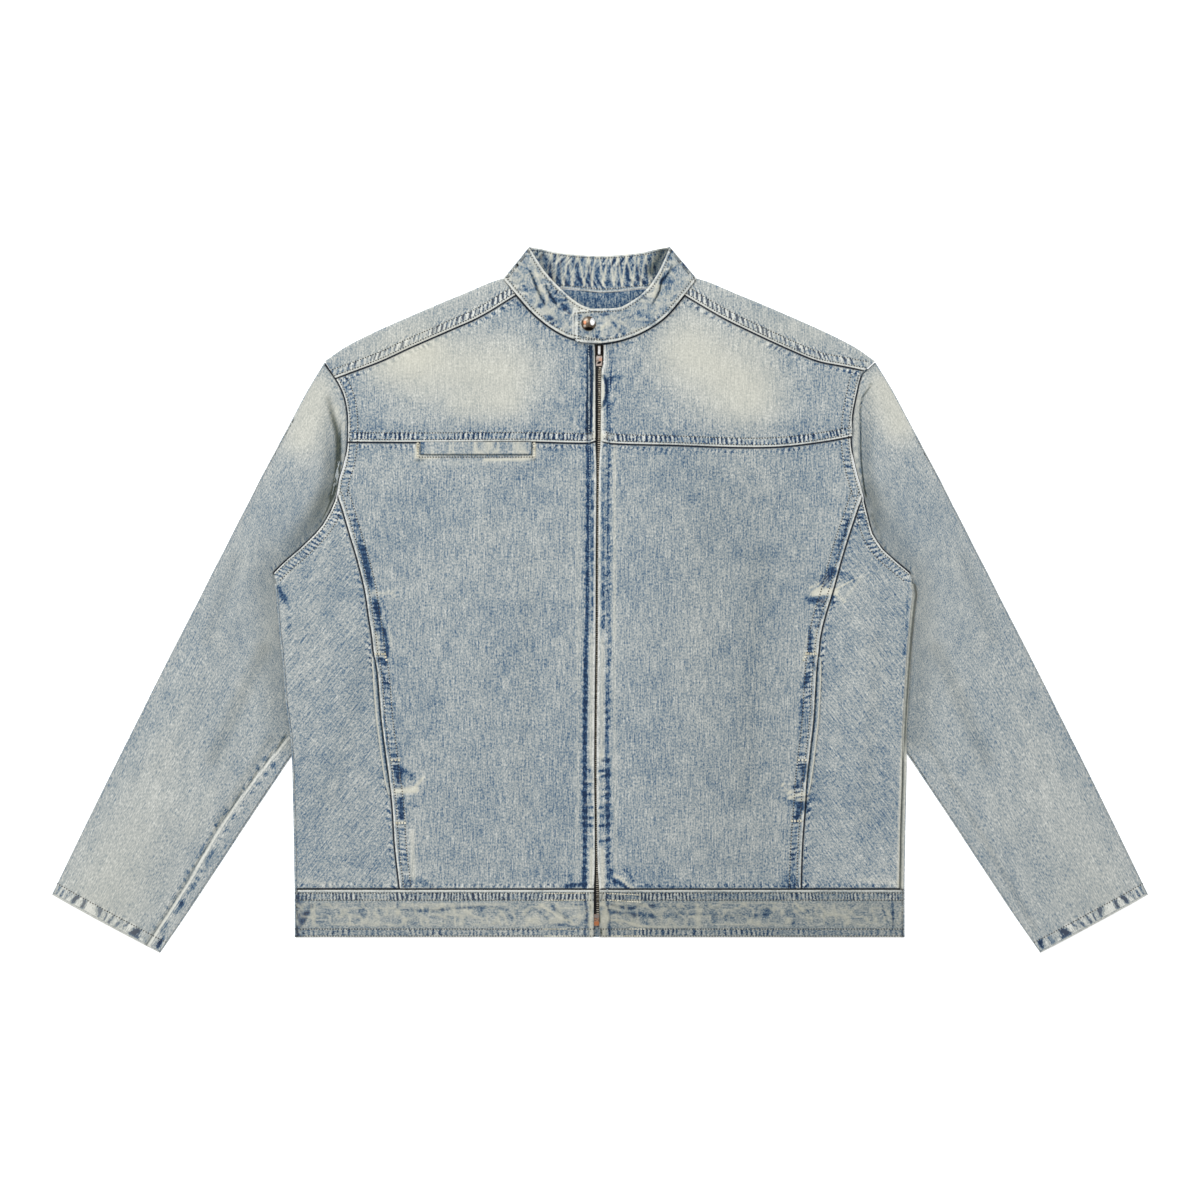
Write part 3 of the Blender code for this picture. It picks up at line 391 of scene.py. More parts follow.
def zip_edge(side: Side, top: float, low: float) -> list:
    """The edge that a front turns over the zip, from one y down to another."""
    stops = [top] + [row.at for row in ZIP if low < row.at < top] + [low]
    return [(float(read(ZIP, y, side)), y) for y in stops]


# ---------------------------------------------------------------- seams, creases, fading and painted shade

FAR, RIM = 9.0, 1.8
PUCKER_REACH, FAINTEST = 26.0, 0.03
# Where the painted shadow beside an upper piece's edge falls: its reach, its station on the covered side, and
# millimetres per station on the shown side.
GAP_REACH, GAP_EDGE, GAP_STEP = 30.0, 0.03, 3.0
STITCH_DENT, STITCH_SPREAD, EDGE_DENT = 0.28, 0.09, 0.55


@dataclass(frozen=True)
class Seam:
    """A seam beside which the cloth puckers.

    Args:
        line: the seam's edge.
        rows: distances of its stitch rows from the edge.
        pitch: spacing of the puckers.
        strength: how strongly it puckers, for each distance along it.
        slant: how far the puckers lean past the last row, per millimetre.
        lean: how far they lean between the rows.
        reach: how far the puckers run.
        relief: height of the puckers.
        under: this piece lies under the edge, so it gets a painted shadow line along the edge and no rim.
        thread: that its rows are sewn with, or none.
        rim: width of the folded edge.
        seed: of its unevenness.
    """

    line: Line
    rows: tuple = (2.0, 8.6)
    pitch: float = 6.5
    strength: Callable = lambda along: np.ones_like(along)
    slant: float = 0.3
    reach: float = 24.0
    relief: float = 0.34
    lean: float = 0.0
    under: bool = False
    thread: Yarn | None = Yarn.WORN
    rim: float = RIM
    seed: int = 1

    def read(self, points: Array) -> tuple[Array, Array, Array]:
        """Station, pucker phase and strength at each point.

        Args:
            points: x and y of the points.

        Returns:
            Station, phase and strength; the station is 0 on the edge and 1 and 2 on the rows.
        """
        distance, along, side = self.line.sided(points)
        if self.under:
            beside = (along > 0.0) & (along < self.line.length)
            shown = np.sign((side * distance)[beside].sum())
            covered = (side * shown < 0) & beside & (distance < GAP_REACH)
            station = -np.where(covered, GAP_EDGE, distance / GAP_STEP)
        else:
            rows = self.rows[:2]
            places = (0, self.rim, *rows, self.reach, 4 * self.reach)
            station = np.interp(distance, places, (0, 0.5, *range(1, 1 + len(rows)), 4, FAR))
        past = np.maximum(distance - self.rows[-1], 0.0) if not self.under else distance
        place = along + self.slant * past + self.lean * distance
        phase = place / self.pitch + 1.5 * noise(place / 17.0, distance / 30.0, self.seed)
        uneven = np.clip(1.7 * noise(place / 13.0, distance / 8.0, self.seed + 7), 0.3, 1.35)
        strength = np.maximum(self.strength(along) * uneven, FAINTEST)
        return station, phase, np.where(distance < PUCKER_REACH, strength, 0.0)


def window(station: Array) -> Array:
    """Where puckers show, from the rim to past the second row."""
    away = np.abs(station)
    return (ease((away - 0.4) / 0.5) * (1.0 - 0.55 * ease((away - 1.9) / 0.5))
            * (1.0 - ease((away - 2.2) / 1.8)))


def steady(value: float) -> Callable:
    """The same strength all along a seam."""
    return lambda along: np.full_like(along, value)


def varying(*stops: tuple[float, float]) -> Callable:
    """Strength read from (distance along, strength) pairs."""
    return lambda along: np.interp(along, *zip(*stops))


@dataclass(frozen=True)
class Mark:
    """A stroke on the cloth: fading, worn thread, painted shade or a crease.

    Args:
        points: its line.
        width: half width.
        pale: how much it lightens towards cream.
        indigo: how much of the unwashed blue it keeps.
        shade: how much painted shade darkens it.
        height: relief in millimetres, a trough if negative.
        soft: share of the width over which it fades out.
        levels: how strong it is at even steps along it.
        taper: width at its end as a share of that at its start.
    """

    points: tuple
    width: float
    pale: float = 0.0
    indigo: float = 0.0
    shade: float = 0.0
    height: float = 0.0
    soft: float = 1.0
    levels: tuple = (1.0, 1.0)
    taper: float = 1.0

    def read(self, points: Array) -> Array:
        """Cover of the mark at each point, from 0 to 1.

        Args:
            points: x and y of the points.

        Returns:
            The cover.
        """
        cover = np.zeros(points.shape[:-1])
        line, corners = Line(self.points), np.array(self.points, float)
        low, high = corners.min(0) - self.width, corners.max(0) + self.width
        near = ((points > low) & (points < high)).all(-1)
        if not near.any():
            return cover
        distance, along = line.nearest(points[near])
        share = along / line.length
        width = self.width * (1.0 + (self.taper - 1.0) * share)
        level = np.interp(share, np.linspace(0, 1, len(self.levels)), self.levels)
        cover[near] = level * ease((1.0 - distance / width) / self.soft)
        return cover


def strokes(names: str, *rows: tuple, **shared) -> list[Mark]:
    """Strokes of one kind.

    Args:
        names: the looks whose amounts each row gives.
        rows: half width, an amount for each name, then the x and y of every point.
        shared: looks that are the same for all.

    Returns:
        The marks.
    """
    kinds = names.split()
    first = 1 + len(kinds)
    return [Mark(tuple(zip(row[first::2], row[first + 1::2])), row[0], **dict(zip(kinds, row[1:])), **shared)
            for row in rows]


# Fades, creases and unwashed patches of the fronts, with painted shade in creases, grooves and seams.
BODY_MARKS = (
    *strokes(
        "pale",
        (72, 0.54, -178, 232, -100, 224), (26, 0.22, -140, 190, -90, 194), (40, 0.3, -220, 238, -180, 255),
        (74, 0.72, 90, 248, 145, 212), (24, 0.06, 90, 190, 190, 192), (34, 0.3, 210, 270, 160, 270),
        (70, 0.12, -210, 250, -70, 230), (4, 0.3, -21, 130, -23, -280), (3, 0.55, 14.5, 160, 14.5, -40),
        (4, 0.35, 14, -50, 16, -270), (6, 0.15, -30, 160, -28, 0),
        (1.8, 0.72, -4.8, 248, -4.6, 228, -5.6, 200, -5.8, 160),
        (1.8, 0.72, 1.8, 228, 2.2, 208, 0.8, 180, 1, 160), (4.2, 0.75, -8.5, -250, -9.3, -289),
        (4.6, 0.75, 2.3, -250, 2.6, -289), (4.4, 0.55, -8.5, -35, -9.5, -162),
        (4.6, 0.55, 2.5, -40, 1.5, -162), (4, 0.72, -223.5, -34, -221.5, -51),
        (5, 1.4, -204, -191, -184, -190), (6, 0.55, -188, -232, -187, -278), (4.2, 1.7, 214, 7, 236, 8.6),
        (1.8, 1.2, 232, 9, 211, 12.5), (1.8, 1.2, 232, 8, 217, 17), (3.2, 0.4, 246, 3, 262, 24),
        (3, 0.65, 216.3, -30, 214.8, -52), (2, 0.5, -325, 17, -300, 35), (4, 0.4, -300, -280, -270, -286),
        (5, 0.35, 260, -280, 300, -284),
    ),
    *strokes(
        "indigo",
        (20, 0.2, -230, 170, -60, 172), (20, 0.18, 60, 170, 240, 172), (16, 0.14, 40, 270, 28, 180),
        (9, 0.3, -18, 248, -18, 170), (5.5, 0.5, 13, 221, 20, 224), (5, 0.4, 14, 213, 22, 207),
        (4, 0.35, 16, 202, 13, 195), (4, 0.4, -244, 80, -239, 52), (5, 0.9, -238, 52, -229, 15),
        (4.6, 1.1, -224, -2, -221, -13), (4, 0.55, -222, -12, -219, -26), (3, 0.5, -217, 0, -212, -22),
        (1.8, 1, -225, -29, -215, -29.5), (3.2, 1.2, -215.5, -31, -213, -45, -213, -56),
        (3.8, 1.1, -223, -60, -214, -62), (3, 0.55, -210, -48, -206, -64), (4, 0.4, -220, -68, -214, -90),
        (4, 0.35, -217, -110, -212, -150), (6, 1, -204, -168, -201, -180), (6, 0.8, -198, -170, -188, -176),
        (2.6, 0.7, -192, -204, -181, -207), (3.5, 0.3, -202, -228, -199, -270), (5, 0.5, 248, 80, 238, 40),
        (8, 0.9, 232, 29, 222, 17), (8, 0.45, 238, 27, 254, 20), (8, 0.22, 214, 30, 206, 10),
        (8, 0.2, 206, 2, 200, -12), (6, 1, 210, 0.5, 224, -2), (3, 1, 232.5, 4, 233, -4),
        (4, 0.3, 226, -8, 218, -26), (2.8, 1.3, 210, -28, 209.5, -53), (5, 0.85, 208, -75, 203, -86),
        (3.4, 0.7, 211, -60, 216, -68), (4, 0.35, 202, -100, 199, -140), (3.4, 0.3, 195, -235, 192, -270),
        (6, 0.7, -321, 12, -316, 0), (2.6, 0.8, 305, -46, 305, -55), (2.6, 0.7, 304, -68, 304, -76),
        (2.6, 0.7, 303, -88, 303, -96), (2.6, 0.6, 302, -112, 302, -120), (3, 0.4, 308.5, 15, 306, -40),
        (3.4, 0.5, 318, 14, 315, -18), (3.6, 0.95, -34, -286, -14, -284), (3, 0.7, -29, -274, -28, -286),
        (2, 0.4, -40, -274, -32, -276), (3.6, 0.7, 11, -270, 15, -284), (3.4, 1.2, 16, -281, 30, -289.5),
        (5, 0.6, 26, -268, 32, -280), (14, 0.22, -270, -260, -228, -268),
    ),
    # Darker all over the left front, x above 0.
    *strokes("shade", (120, 0.12, 130, 90, 140, -250)),
    *strokes("height", (18, 0.8, -200, 0, -160, -100)),
    *strokes(
        "pale height",
        (2.4, 0.7, 0.4, 3.2, 216, 3.4, 203), (5.5, 0.65, 0.5, -11, 163, -5, 164),
        (6, 0.65, 0.5, 1.5, 164, 10, 164), (1.6, 0.5, 0.3, -211, 6, -203, 12),
        (1.8, 0.7, 0.3, -212, 10, -203, 2), (1.3, 0.58, 0.3, -214, 2, -211, -25, -209, -55),
        (2, 1.2, 0.4, -187, -189.5, -176.5, -177), (1.2, 0.65, 0.3, -176, -277, -164, -289),
        (1.3, 0.65, 0.3, 207, -34, 203.6, -54, 201, -67),
        (1.7, 1.3, 0.5, 14, -276, 20, -277.5, 26, -283.5, 33, -289), (26, 0.1, 1.2, -255, 80, -300, -20),
        (34, 0.06, 1.3, -120, 80, -130, -160), (30, 0.06, 1.2, 90, 80, 100, -160),
        (20, 0.06, 1, 250, 40, 272, -100),
    ),
    *strokes(
        "pale taper",
        (4, 0.62, 0.6, -227, 7, -214, 6), (2, 1.2, 0.3, 231, 8, 201, 5), (1.5, 0.8, 0.3, 225, 16, 215, 26),
        (1.5, 0.8, 0.3, 227.4, 16, 219.8, 27.2), (1.5, 0.8, 0.3, 230.2, 16, 225.4, 27.4),
        (1.5, 0.8, 0.3, 235, 16, 235, 25), (1.5, 0.8, 0.3, 239, 16, 243, 23),
        (1.4, 0.7, 0.3, 222, 0, 213, -8), (1.4, 0.7, 0.3, 224.8, 0, 217.2, -9.4),
        (1.4, 0.7, 0.3, 228, 0, 222, -11), (1.4, 0.7, 0.3, 230.8, 0, 226.2, -9.6),
        (1.3, 0.6, 0.3, -205, -183, -207, -171), (1.3, 0.6, 0.3, -200.2, -183, -200.6, -170.6),
        (1.3, 0.6, 0.3, -194.8, -183, -193.4, -172.4), (1.3, 0.6, 0.3, -190, -183, -187, -174),
        (1.3, 0.6, 0.3, 190, -186, 188, -177), (1.3, 0.6, 0.3, 194.8, -186, 194.4, -175.4),
        (1.3, 0.6, 0.3, 200.2, -186, 201.6, -174.4), (1.3, 0.6, 0.3, 204.4, -186, 207.2, -175.8),
    ),
    *strokes(
        "pale levels",
        (5, 0.25, (1, 0.4, 1, 0.3, 0.9, 0.5, 1), -270, -284, -40, -286),
        (5, 0.35, (1, 0.3, 1, 0.4, 0.9, 0.3, 1), -175, 138, -80, 136),
    ),
    *strokes(
        "indigo soft",
        (8.5, 0.75, 1.3, -194, -284, -184, -281, -168, -286), (14, 0.62, 1.4, 187, -280, 197, -284),
        (6, 0.4, 1.2, 178, -284, 190, -288),
    ),
    *strokes("indigo taper", (1.4, 0.7, 0.4, 203, -196.2, 190, -196)),
    *strokes(
        "indigo levels",
        (5.5, 1, (1, 0.7, 1), -200, -200, -198.5, -216), (5, 0.5, (1, 0.5, 1, 0.3), -313, 2, -310, -40),
        (5, 0.3, (1, 0.2, 0.8, 0.2, 0.7), -308, -60, -307, -140),
        (3, 0.5, (1, 0.5, 1, 0.6, 1, 0.4), 40, -286, 100, -288),
        (4, 0.35, (1, 0.3, 0.9, 0.2, 0.8), -270, 148, -190, 150),
        (4, 0.5, (0.6, 0.9, 0.4, 1), -60, 151, -14, 150),
        (4, 0.35, (1, 0.4, 0.8, 0.2, 0.7), 20, 148, 100, 146),
        (4, 0.2, (0.6, 0.2, 1, 0.3, 0.9, 0.4), 100, 148, 240, 150),
    ),
    *strokes(
        "shade height",
        (22, 0.06, -0.8, -228, -40, -270, -200), (20, 0.05, -0.8, -70, 40, -78, -220),
        (22, 0.07, -0.8, 160, 40, 145, -200), (14, 0.06, -0.7, 280, -40, 266, -220),
    ),
    *strokes(
        "pale height soft",
        (5, 0.7, 0.2, 0.6, 314, 18, 316, 8, 313.8, -12, 311.8, -34, 309, -67, 305, -130, 303, -180,
         300.4, -289),
        (2.6, 1, 0.4, 0.5, -182, 157.6, -182, 143, -66.4, 143, -66.4, 157.6),
    ),
    *strokes(
        "pale height taper",
        (2.2, 1.5, 0.3, 0.3, 233, 8, 244.8, -2), (1.9, 1.1, 0.3, 0.3, 233, 9, 258, 23),
        (2.6, 2, 0.5, 0.3, 207, -193.6, 191, -193, 185, -189, 182, -182),
        (3, 1.9, 0.5, 0.2, 207, -199, 196, -198.6, 184, -196),
    ),
    *strokes("indigo shade height", (2.6, 1.6, 0.4, -0.5, 3, 224, 6, 219, 6.7, 212, 6, 202, 1.8, 192.4)),
    *strokes(
        "indigo shade levels",
        (1, 0.5, 0.9, (1, 0.5, 1, 0.4, 1, 0.5, 1), -184.6, 157.4, -184.6, 140.6, -63.8, 140.6, -63.8, 157.4),
    ),
    *strokes(
        "indigo soft taper",
        (7.5, 1.1, 1.2, 0.3, 205, -166, 203, -180, 192, -188), (5, 0.45, 1.3, 0.3, 190, -170, 188, -184),
        (7.5, 1.2, 1.1, 0.5, 204, -203, 197, -218), (6, 0.7, 1.2, 0.2, 205, -197, 220, -201),
    ),
    *strokes(
        "indigo soft levels",
        (9, 0.75, 1.4, (0.4, 0.8, 1), 172, -197, 188, -202, 205, -205),
        (6.4, 0.32, 0.8, (0.3, 1, 0.6, 1, 0.5, 0.9, 0.6, 1, 0.5, 0.8), -251, 98, -236, 46, -227, 2, -220, -40,
         -207, -115, -200, -160, -196, -200, -193, -280),
        (6.4, 0.3, 0.8, (0.4, 1, 0.7, 1, 0.5, 0.9, 0.6, 1, 0.5, 0.8), 254, 100, 238.8, 60, 231, 30, 224.7, 8,
         218, -15, 213, -45, 206, -94, 202, -140, 196, -200, 193, -280),
    ),
    *strokes(
        "indigo shade height soft",
        (1.7, 0.9, 0.8, -0.4, 0.6, 314, 18, 316, 8, 313.8, -12, 311.8, -34, 309, -67, 305, -130, 303, -180,
         300.4, -289),
    ),
    *strokes(
        "indigo height soft levels",
        (3.2, 0.95, -0.5, 0.7, (1.6, 1.5, 1.35, 1.2, 1.15, 1.1, 1.15, 1.05, 1, 1, 1.05), -11, 250, -11, 170,
         -11.5, 120, -12, 40, -13, -25, -14, -40, -14.5, -100, -15.3, -160, -14.8, -220, -15.8, -289),
        (3, 0.9, -0.45, 0.7, (0.6, 0.9, 0.9, 0.7, 0.65, 0.55, 0.5, 0.65, 0.7, 0.7, 0.7, 0.75), 11.5, 251,
         10, 225, 8, 205, 9, 170, 8.5, 150, 7.4, 80, 8, 0, 9.5, -40, 7.4, -100, 7.4, -200, 8, -250,
         8.4, -289),
    ),
    *strokes(
        "indigo shade height soft levels",
        (4.2, 1.3, 0.6, -0.4, 0.5, (0.8, 1, 1, 0.9), -9.6, 252, -9.4, 226, -10.2, 200, -11.2, 168),
    ),
)
# Blue blocks on the flaps beside the zip: y, half height and how blue.
FLAP_BLOCKS = {
    "right": ((148, 7, 0.35), (130, 7, 0.5), (113, 6, 0.75), (94, 5, 0.85), (76, 6, 0.85), (59, 5, 0.75),
              (44, 4, 0.8), (29, 5, 0.75), (14, 4, 0.65), (-2, 5, 0.75), (-16, 4, 0.65)),
    "left": ((142, 6, 0.3), (125, 7, 0.35), (110, 5, 0.6), (92, 5, 0.55), (78, 5, 0.7), (60, 5, 0.6),
             (44, 4, 0.65), (27, 5, 0.65), (10, 5, 0.85), (-6, 4, 0.9), (-22, 5, 0.9)),
}
# Middle and half width of the flaps, and their wedges, from the grooves to the zip: y and half width.
FLAP_MIDDLE = {"right": (-7.4, 2.2), "left": (3.2, 3.2)}
WEDGES = {
    "right": ((-171, 2.2), (-185, 3.2), (-194, 3.4), (-209, 3), (-218, 3.4), (-225, 2.8), (-238, 2)),
    "left": ((-161, 2.2), (-171, 2.6), (-176, 3.2), (-189, 3), (-196, 3.2), (-206, 3), (-216, 3.2), (-226, 3),
             (-240, 2.4)),
}
WEDGE_X = {"right": ((-15, -6.4), (-15.5, -23)), "left": ((8, -0.8), (8.4, 17))}


def flap_marks(side: Side) -> list[Mark]:
    """Blocks, ribs and wedges on the flap beside the zip.

    Args:
        side: of the jacket.

    Returns:
        The marks.
    """
    middle, half = FLAP_MIDDLE[side]
    out = [Mark(((middle, y - tall), (middle, y + tall)), half, indigo=blue, soft=0.8)
           for y, tall, blue in FLAP_BLOCKS[side]]
    for step in range(17):
        y = -37.0 - 7.4 * step + 2.0 * math.sin(2.3 * step)
        blue = 0.35 + 0.2 * math.sin(1.7 * step)
        out.append(Mark(((middle - 3, y), (middle + 3, y - 0.6)), 1.3, indigo=blue, height=-0.15))
    (groove, tip), (start, outside) = WEDGE_X[side]
    for index, (y, half) in enumerate(WEDGES[side]):
        dip = 1.6 * math.sin(2.1 * index + 1)
        out.append(Mark(((groove, y), (tip, y + dip)), half, indigo=1.1, height=-0.3, soft=0.8, taper=0.35))
        out.append(Mark(((start, y + 1), (outside, y + 4 + dip)), half, indigo=0.6, levels=(1.0, 0.5, 0.0),
                        taper=0.5))
        out.append(Mark(((groove, y + 4), (tip, y + 4 + dip)), 1.6, pale=0.5, height=0.2))
    return out


# Seam along the underside of the right sleeve, where it shows.
UNDERARM = ((-311, -137.5), (-343, -177), (-379, -227), (-409, -278.6), (-453, -347.6))
# Fades and folds of the sleeves, with painted shade: the body's shadow beside it, and shade in folds and by
# seams.
SLEEVE_MARKS = (
    *strokes(
        "pale",
        (44, 0.62, -284, 206, -298, 165), (40, 0.1, -338, 120, -385, 40), (7, 0.35, -264, 192, -259, 172),
        (42, 0.66, 284, 212, 300, 178),
    ),
    *strokes(
        "indigo",
        (46, 0.14, -300, 110, -345, 60), (4, 0.5, -391, -264, -396, -270), (4.4, 0.7, -405, -284, -409, -289),
        (5, 0.95, -418, -303, -422, -310), (4.4, 0.9, -434, -325, -438, -330),
        (4, 0.35, -372, -242, -376, -248), (3, 0.8, -442, -345, -437, -338),
        (26, 0.1, -480, -220, -520, -280), (30, 0.1, -420, -100, -430, -120),
        (30, 0.12, -330, 140, -350, 100), (50, 0.16, 300, 120, 345, 60),
    ),
    *strokes(
        "shade",
        (30, 0.29, -270, 90, -298, 55, -327, 27, -328, -10, -322, -80, -314, -138),
        (28, 0.25, 272, 100, 300, 45, 316, 20, 318, -40, 314, -138),
        (6, 0.15, 330, -145, 390, -250, 436, -330),
    ),
    *strokes(
        "pale height",
        (7, 0.2, 0.6, -270, 95, -278, 70, -294, 52), (20, 0.1, 1.3, -342, 60, -374, -40),
        (14, 0.14, 0.9, -314, 0, -364, -100), (22, 0.08, 1.2, -390, -40, -440, -160),
        (14, 0.1, 0.8, -360, -140, -410, -230), (20, 0.1, 1.3, 342, 60, 374, -40),
        (14, 0.12, 0.9, 314, 0, 364, -100), (22, 0.08, 1.2, 390, -40, 440, -160),
        (14, 0.1, 0.8, 360, -140, 410, -230),
    ),
    *strokes(
        "pale levels",
        (105, 0.5, (0, 0.55, 1), -380, -80, -440, -190, -500, -310),
        (105, 0.34, (0, 0.55, 1), 390, -80, 450, -190, 500, -310),
    ),
    *strokes(
        "indigo shade",
        (1.5, 0.4, 0.77, 272, 217, 261.8, 199, 261, 169, 261.6, 140, 264.3, 115, 266.5, 104),
    ),
    *strokes("indigo levels", (5, 0.25, (1, 0.2, 1, 0.3, 1), 400, -260, 430, -315)),
    *strokes(
        "shade height",
        (14, 0.12, -0.9, -364, 40, -392, -40), (14, 0.2, -0.9, -338, -50, -386, -160),
        (8, 0.2, -0.5, -330, -140, -384, -226), (14, 0.1, -0.9, 366, 40, 394, -40),
        (14, 0.18, -0.9, 338, -50, 386, -160),
    ),
    *strokes(
        "shade levels",
        (4, 0.42, (0.8, 0.5, 0.2), -274, 75, -298, 52, -327, 26),
        (4, 0.35, (0.8, 0.5, 0.2), 272, 85, 290, 44, 312, 25),
    ),
    *strokes(
        "indigo shade levels",
        (1.3, 0.4, 0.85, (0.3, 0.8, 1, 1, 0.9, 0.6, 0.2), -259.6, 180, -260.4, 158, -261, 142, -263.2, 124,
         -267, 107, -274, 89, -284, 72),
    ),
    *strokes(
        "shade height levels",
        (17, 0.6, -0.8, (0.1, 0.4, 0.9, 1, 0.6, 0.3), -273, 192, -269, 168, -268, 145, -270, 118, -286, 84,
         -306, 58),
        (5, 0.95, -0.7, (0.3, 0.8, 0.9, 1, 1, 0.5), -272, 202, -268.4, 186, -263.4, 168, -262, 143,
         -263.8, 120, -269, 102),
        (13, 0.35, -0.8, (0.3, 0.8, 1, 0.4), 268, 200, 266, 160, 268, 120, 280, 75),
    ),
    *strokes(
        "pale height soft taper",
        (4.6, 0.45, 0.9, 0.6, 0.7, 257, 204, 256.2, 169, 256.6, 140, 259.3, 115, 262, 104),
    ),
    *strokes(
        "indigo shade height soft",
        (1.7, 0.3, 0.6, -0.2, 0.8, -313.6, -136, -345.4, -175.6, -381.4, -225.6, -411.4, -277.3,
         -455.4, -346.4),
    ),
    *strokes(
        "pale indigo height soft taper",
        (2.4, 0.3, 0.1, 0.6, 0.7, 0.4, -256, 190, -256.4, 160, -257, 140, -259.8, 122, -264, 106, -271, 91),
    ),
    Mark(UNDERARM, 2.2, pale=0.4, height=0.35),
)
# Creases of the collar, with painted shade in their hollows.
COLLAR_MARKS = (
    *strokes("pale", (8, 0.3, -100, 316, -80, 300)),
    *strokes(
        "indigo",
        (2, 0.6, -76, 338, -72, 330), (4, 0.5, 78, 338, 74, 328), (5, 0.5, 84, 338, 92, 330),
        (3, 0.6, -40, 300, -34, 290), (3, 0.5, -52, 282, -40, 278), (3.4, 0.5, 4, 284, 18, 282),
        (3, 0.7, 12, 278, 22, 266), (2.4, 0.6, 28, 282, 40, 288), (2.6, 0.5, -16, 266, 0, 262),
        (2.4, 0.5, 30, 300, 48, 308), (3, 0.3, -60, 270, -34, 262),
    ),
    *strokes(
        "pale height",
        (2.2, 0.7, 0.5, -65, 330, -59, 314, -52, 300), (2, 0.7, 0.5, 67, 334, 58, 318, 54, 304),
        (4, 0.3, 0.3, 90, 324, 76, 300), (2, 0.6, 0.3, 6, 276, 0, 270),
    ),
    *strokes("indigo height", (1.5, 0.8, -0.4, -44, 294, -30, 286), (2.4, 0.4, -0.3, -80, 300, -60, 278)),
    *strokes("indigo shade height", (1.8, 1.1, 0.8, -0.8, -54, 314, -50, 305, -44, 296)),
    *strokes(
        "indigo shade height levels",
        (1.9, 1.2, 0.9, -0.9, (0.7, 1, 1, 0.6), -70, 329, -66, 319, -62, 309, -55, 295),
        (1.8, 1.2, 1, -0.9, (0.5, 1, 1, 1, 0.5), 72, 334, 68, 326, 62, 319, 59, 308, 52, 295),
    ),
)
# Wrinkles of the hem band, and painted shade lines near its ends at the zip.
BAND_MARKS = (
    *strokes(
        "pale",
        (4, 0.8, -9.6, -294, -9.5, -303), (4, 0.8, 2.4, -294, 3, -303), (2, 0.6, -304, -316, -296, -304),
        (2, 0.6, -301, -332, -292, -320), (2, 0.4, 120, -302, 180, -303),
    ),
    *strokes(
        "indigo",
        (4, 0.8, -299, -324, -289, -306), (4, 0.5, -288, -306, -270, -304), (8, 0.25, -282, -316, -250, -312),
        (2.4, 0.8, -48, -306, -34, -318), (3, 0.6, -64, -310, -52, -318), (3, 0.4, -44, -324, -20, -328),
        (2, 0.6, -30, -304, -18, -305), (1.6, 0.7, 200, -305, 197, -312), (2, 1, 292, -300, 293, -330),
        (1.6, 1, 197, -293, 197, -302), (1.3, 1, -202, -293, -202, -308), (1.1, 0.7, -181, -293, -181, -308),
    ),
    *strokes(
        "shade",
        (0.9, 0.9, -10, -305, -10.7, -320, -10.5, -337), (1, 0.9, -1.4, -308, 0, -325, 2, -337),
    ),
    *strokes(
        "pale height",
        (3.2, 0.8, 0.3, -8.5, -308, -9, -337), (4.6, 0.9, 0.3, 4, -312, 4.5, -337),
        (1.2, 1, 0.4, -0.2, -303.5, 4, -305, 7, -310, 8.4, -319.6),
        (1.6, 0.9, 0.5, -60, -305, -48, -312, -40, -318, -28, -321),
        (1.4, 0.9, 0.5, 195, -302, 200, -309, 206, -311),
    ),
    *strokes(
        "indigo height",
        (1.9, 1.2, -0.5, -15.7, -293, -14.5, -303, -13, -312, -14, -325, -14.6, -337),
        (1.9, 1.2, -0.5, 8, -293, 7.6, -303, 9.5, -318, 9, -328, 10.5, -337),
        (2.4, 1, -0.4, 12, -305, 32, -308, 42, -304), (2, 0.7, -0.4, 282, -305, 286, -318, 289, -324),
    ),
    *strokes("indigo soft", (11, 0.8, 1.1, -302, -298, -300, -315, -302, -334)),
    *strokes(
        "indigo levels",
        (4, 0.7, (1, 0.7, 0.4), 12, -312, 50, -316, 100, -314),
        (2.6, 0.6, (1, 0.4, 0.9, 0.3, 0.6), 50, -306, 140, -308),
        (3, 0.35, (1, 0.4, 1, 0.5, 1), 40, -312, 160, -316),
    ),
    *strokes(
        "pale height levels",
        (2.6, 0.5, 0.4, (0.5, 1, 0.4, 1, 0.6), -200, -305, -92, -304),
        (1.7, 0.9, 0.5, (1, 0.5, 1), 14, -300, 22, -304, 32, -301, 40, -300),
        (1.8, 0.9, 0.5, (1, 1, 0.6, 0.4), 12, -320, 24, -321, 40, -326, 100, -327),
    ),
    *strokes(
        "indigo height levels",
        (2.4, 0.9, -0.6, (0.4, 1, 0.8, 1, 0.9, 0.5), -204, -309.5, -170, -310.5, -138, -308, -114, -307.5,
         -92, -310),
    ),
)
# Ends of the bars of thread across the pocket openings.
BARTACKS = {
    "right": (((-224, -54), (-215, -54)), ((-215.5, -54), (-213.5, -60)), ((-203.5, -223), (-195, -223)),
              ((-208, -160), (-201, -160))),
    "left": (((206, -53.5), (216, -54)), ((206.5, -54), (204, -60)), ((192, -221), (201, -221)),
             ((199, -160), (206, -160))),
}
# Folds that stand up inside the back of the collar: x at their foot, and how strong they are.
COLLAR_FOLDS = ((-55, 0.8), (-46, 1), (-37, 0.9), (-27.5, 0.8), (-16, 1), (-8, 0.8), (3, 0.9), (14, 0.7),
                (22, 1), (32.5, 0.9), (41, 0.8), (50, 0.7))


# ---------------------------------------------------------------- meshes

def placed(name: str, data: bpy.types.ID) -> Object:
    """A new object with this data, in the scene.

    Args:
        name: of the object.
        data: its mesh, light or camera.

    Returns:
        The object.
    """
    made = bpy.data.objects.new(name, data)
    bpy.context.scene.collection.objects.link(made)
    return made


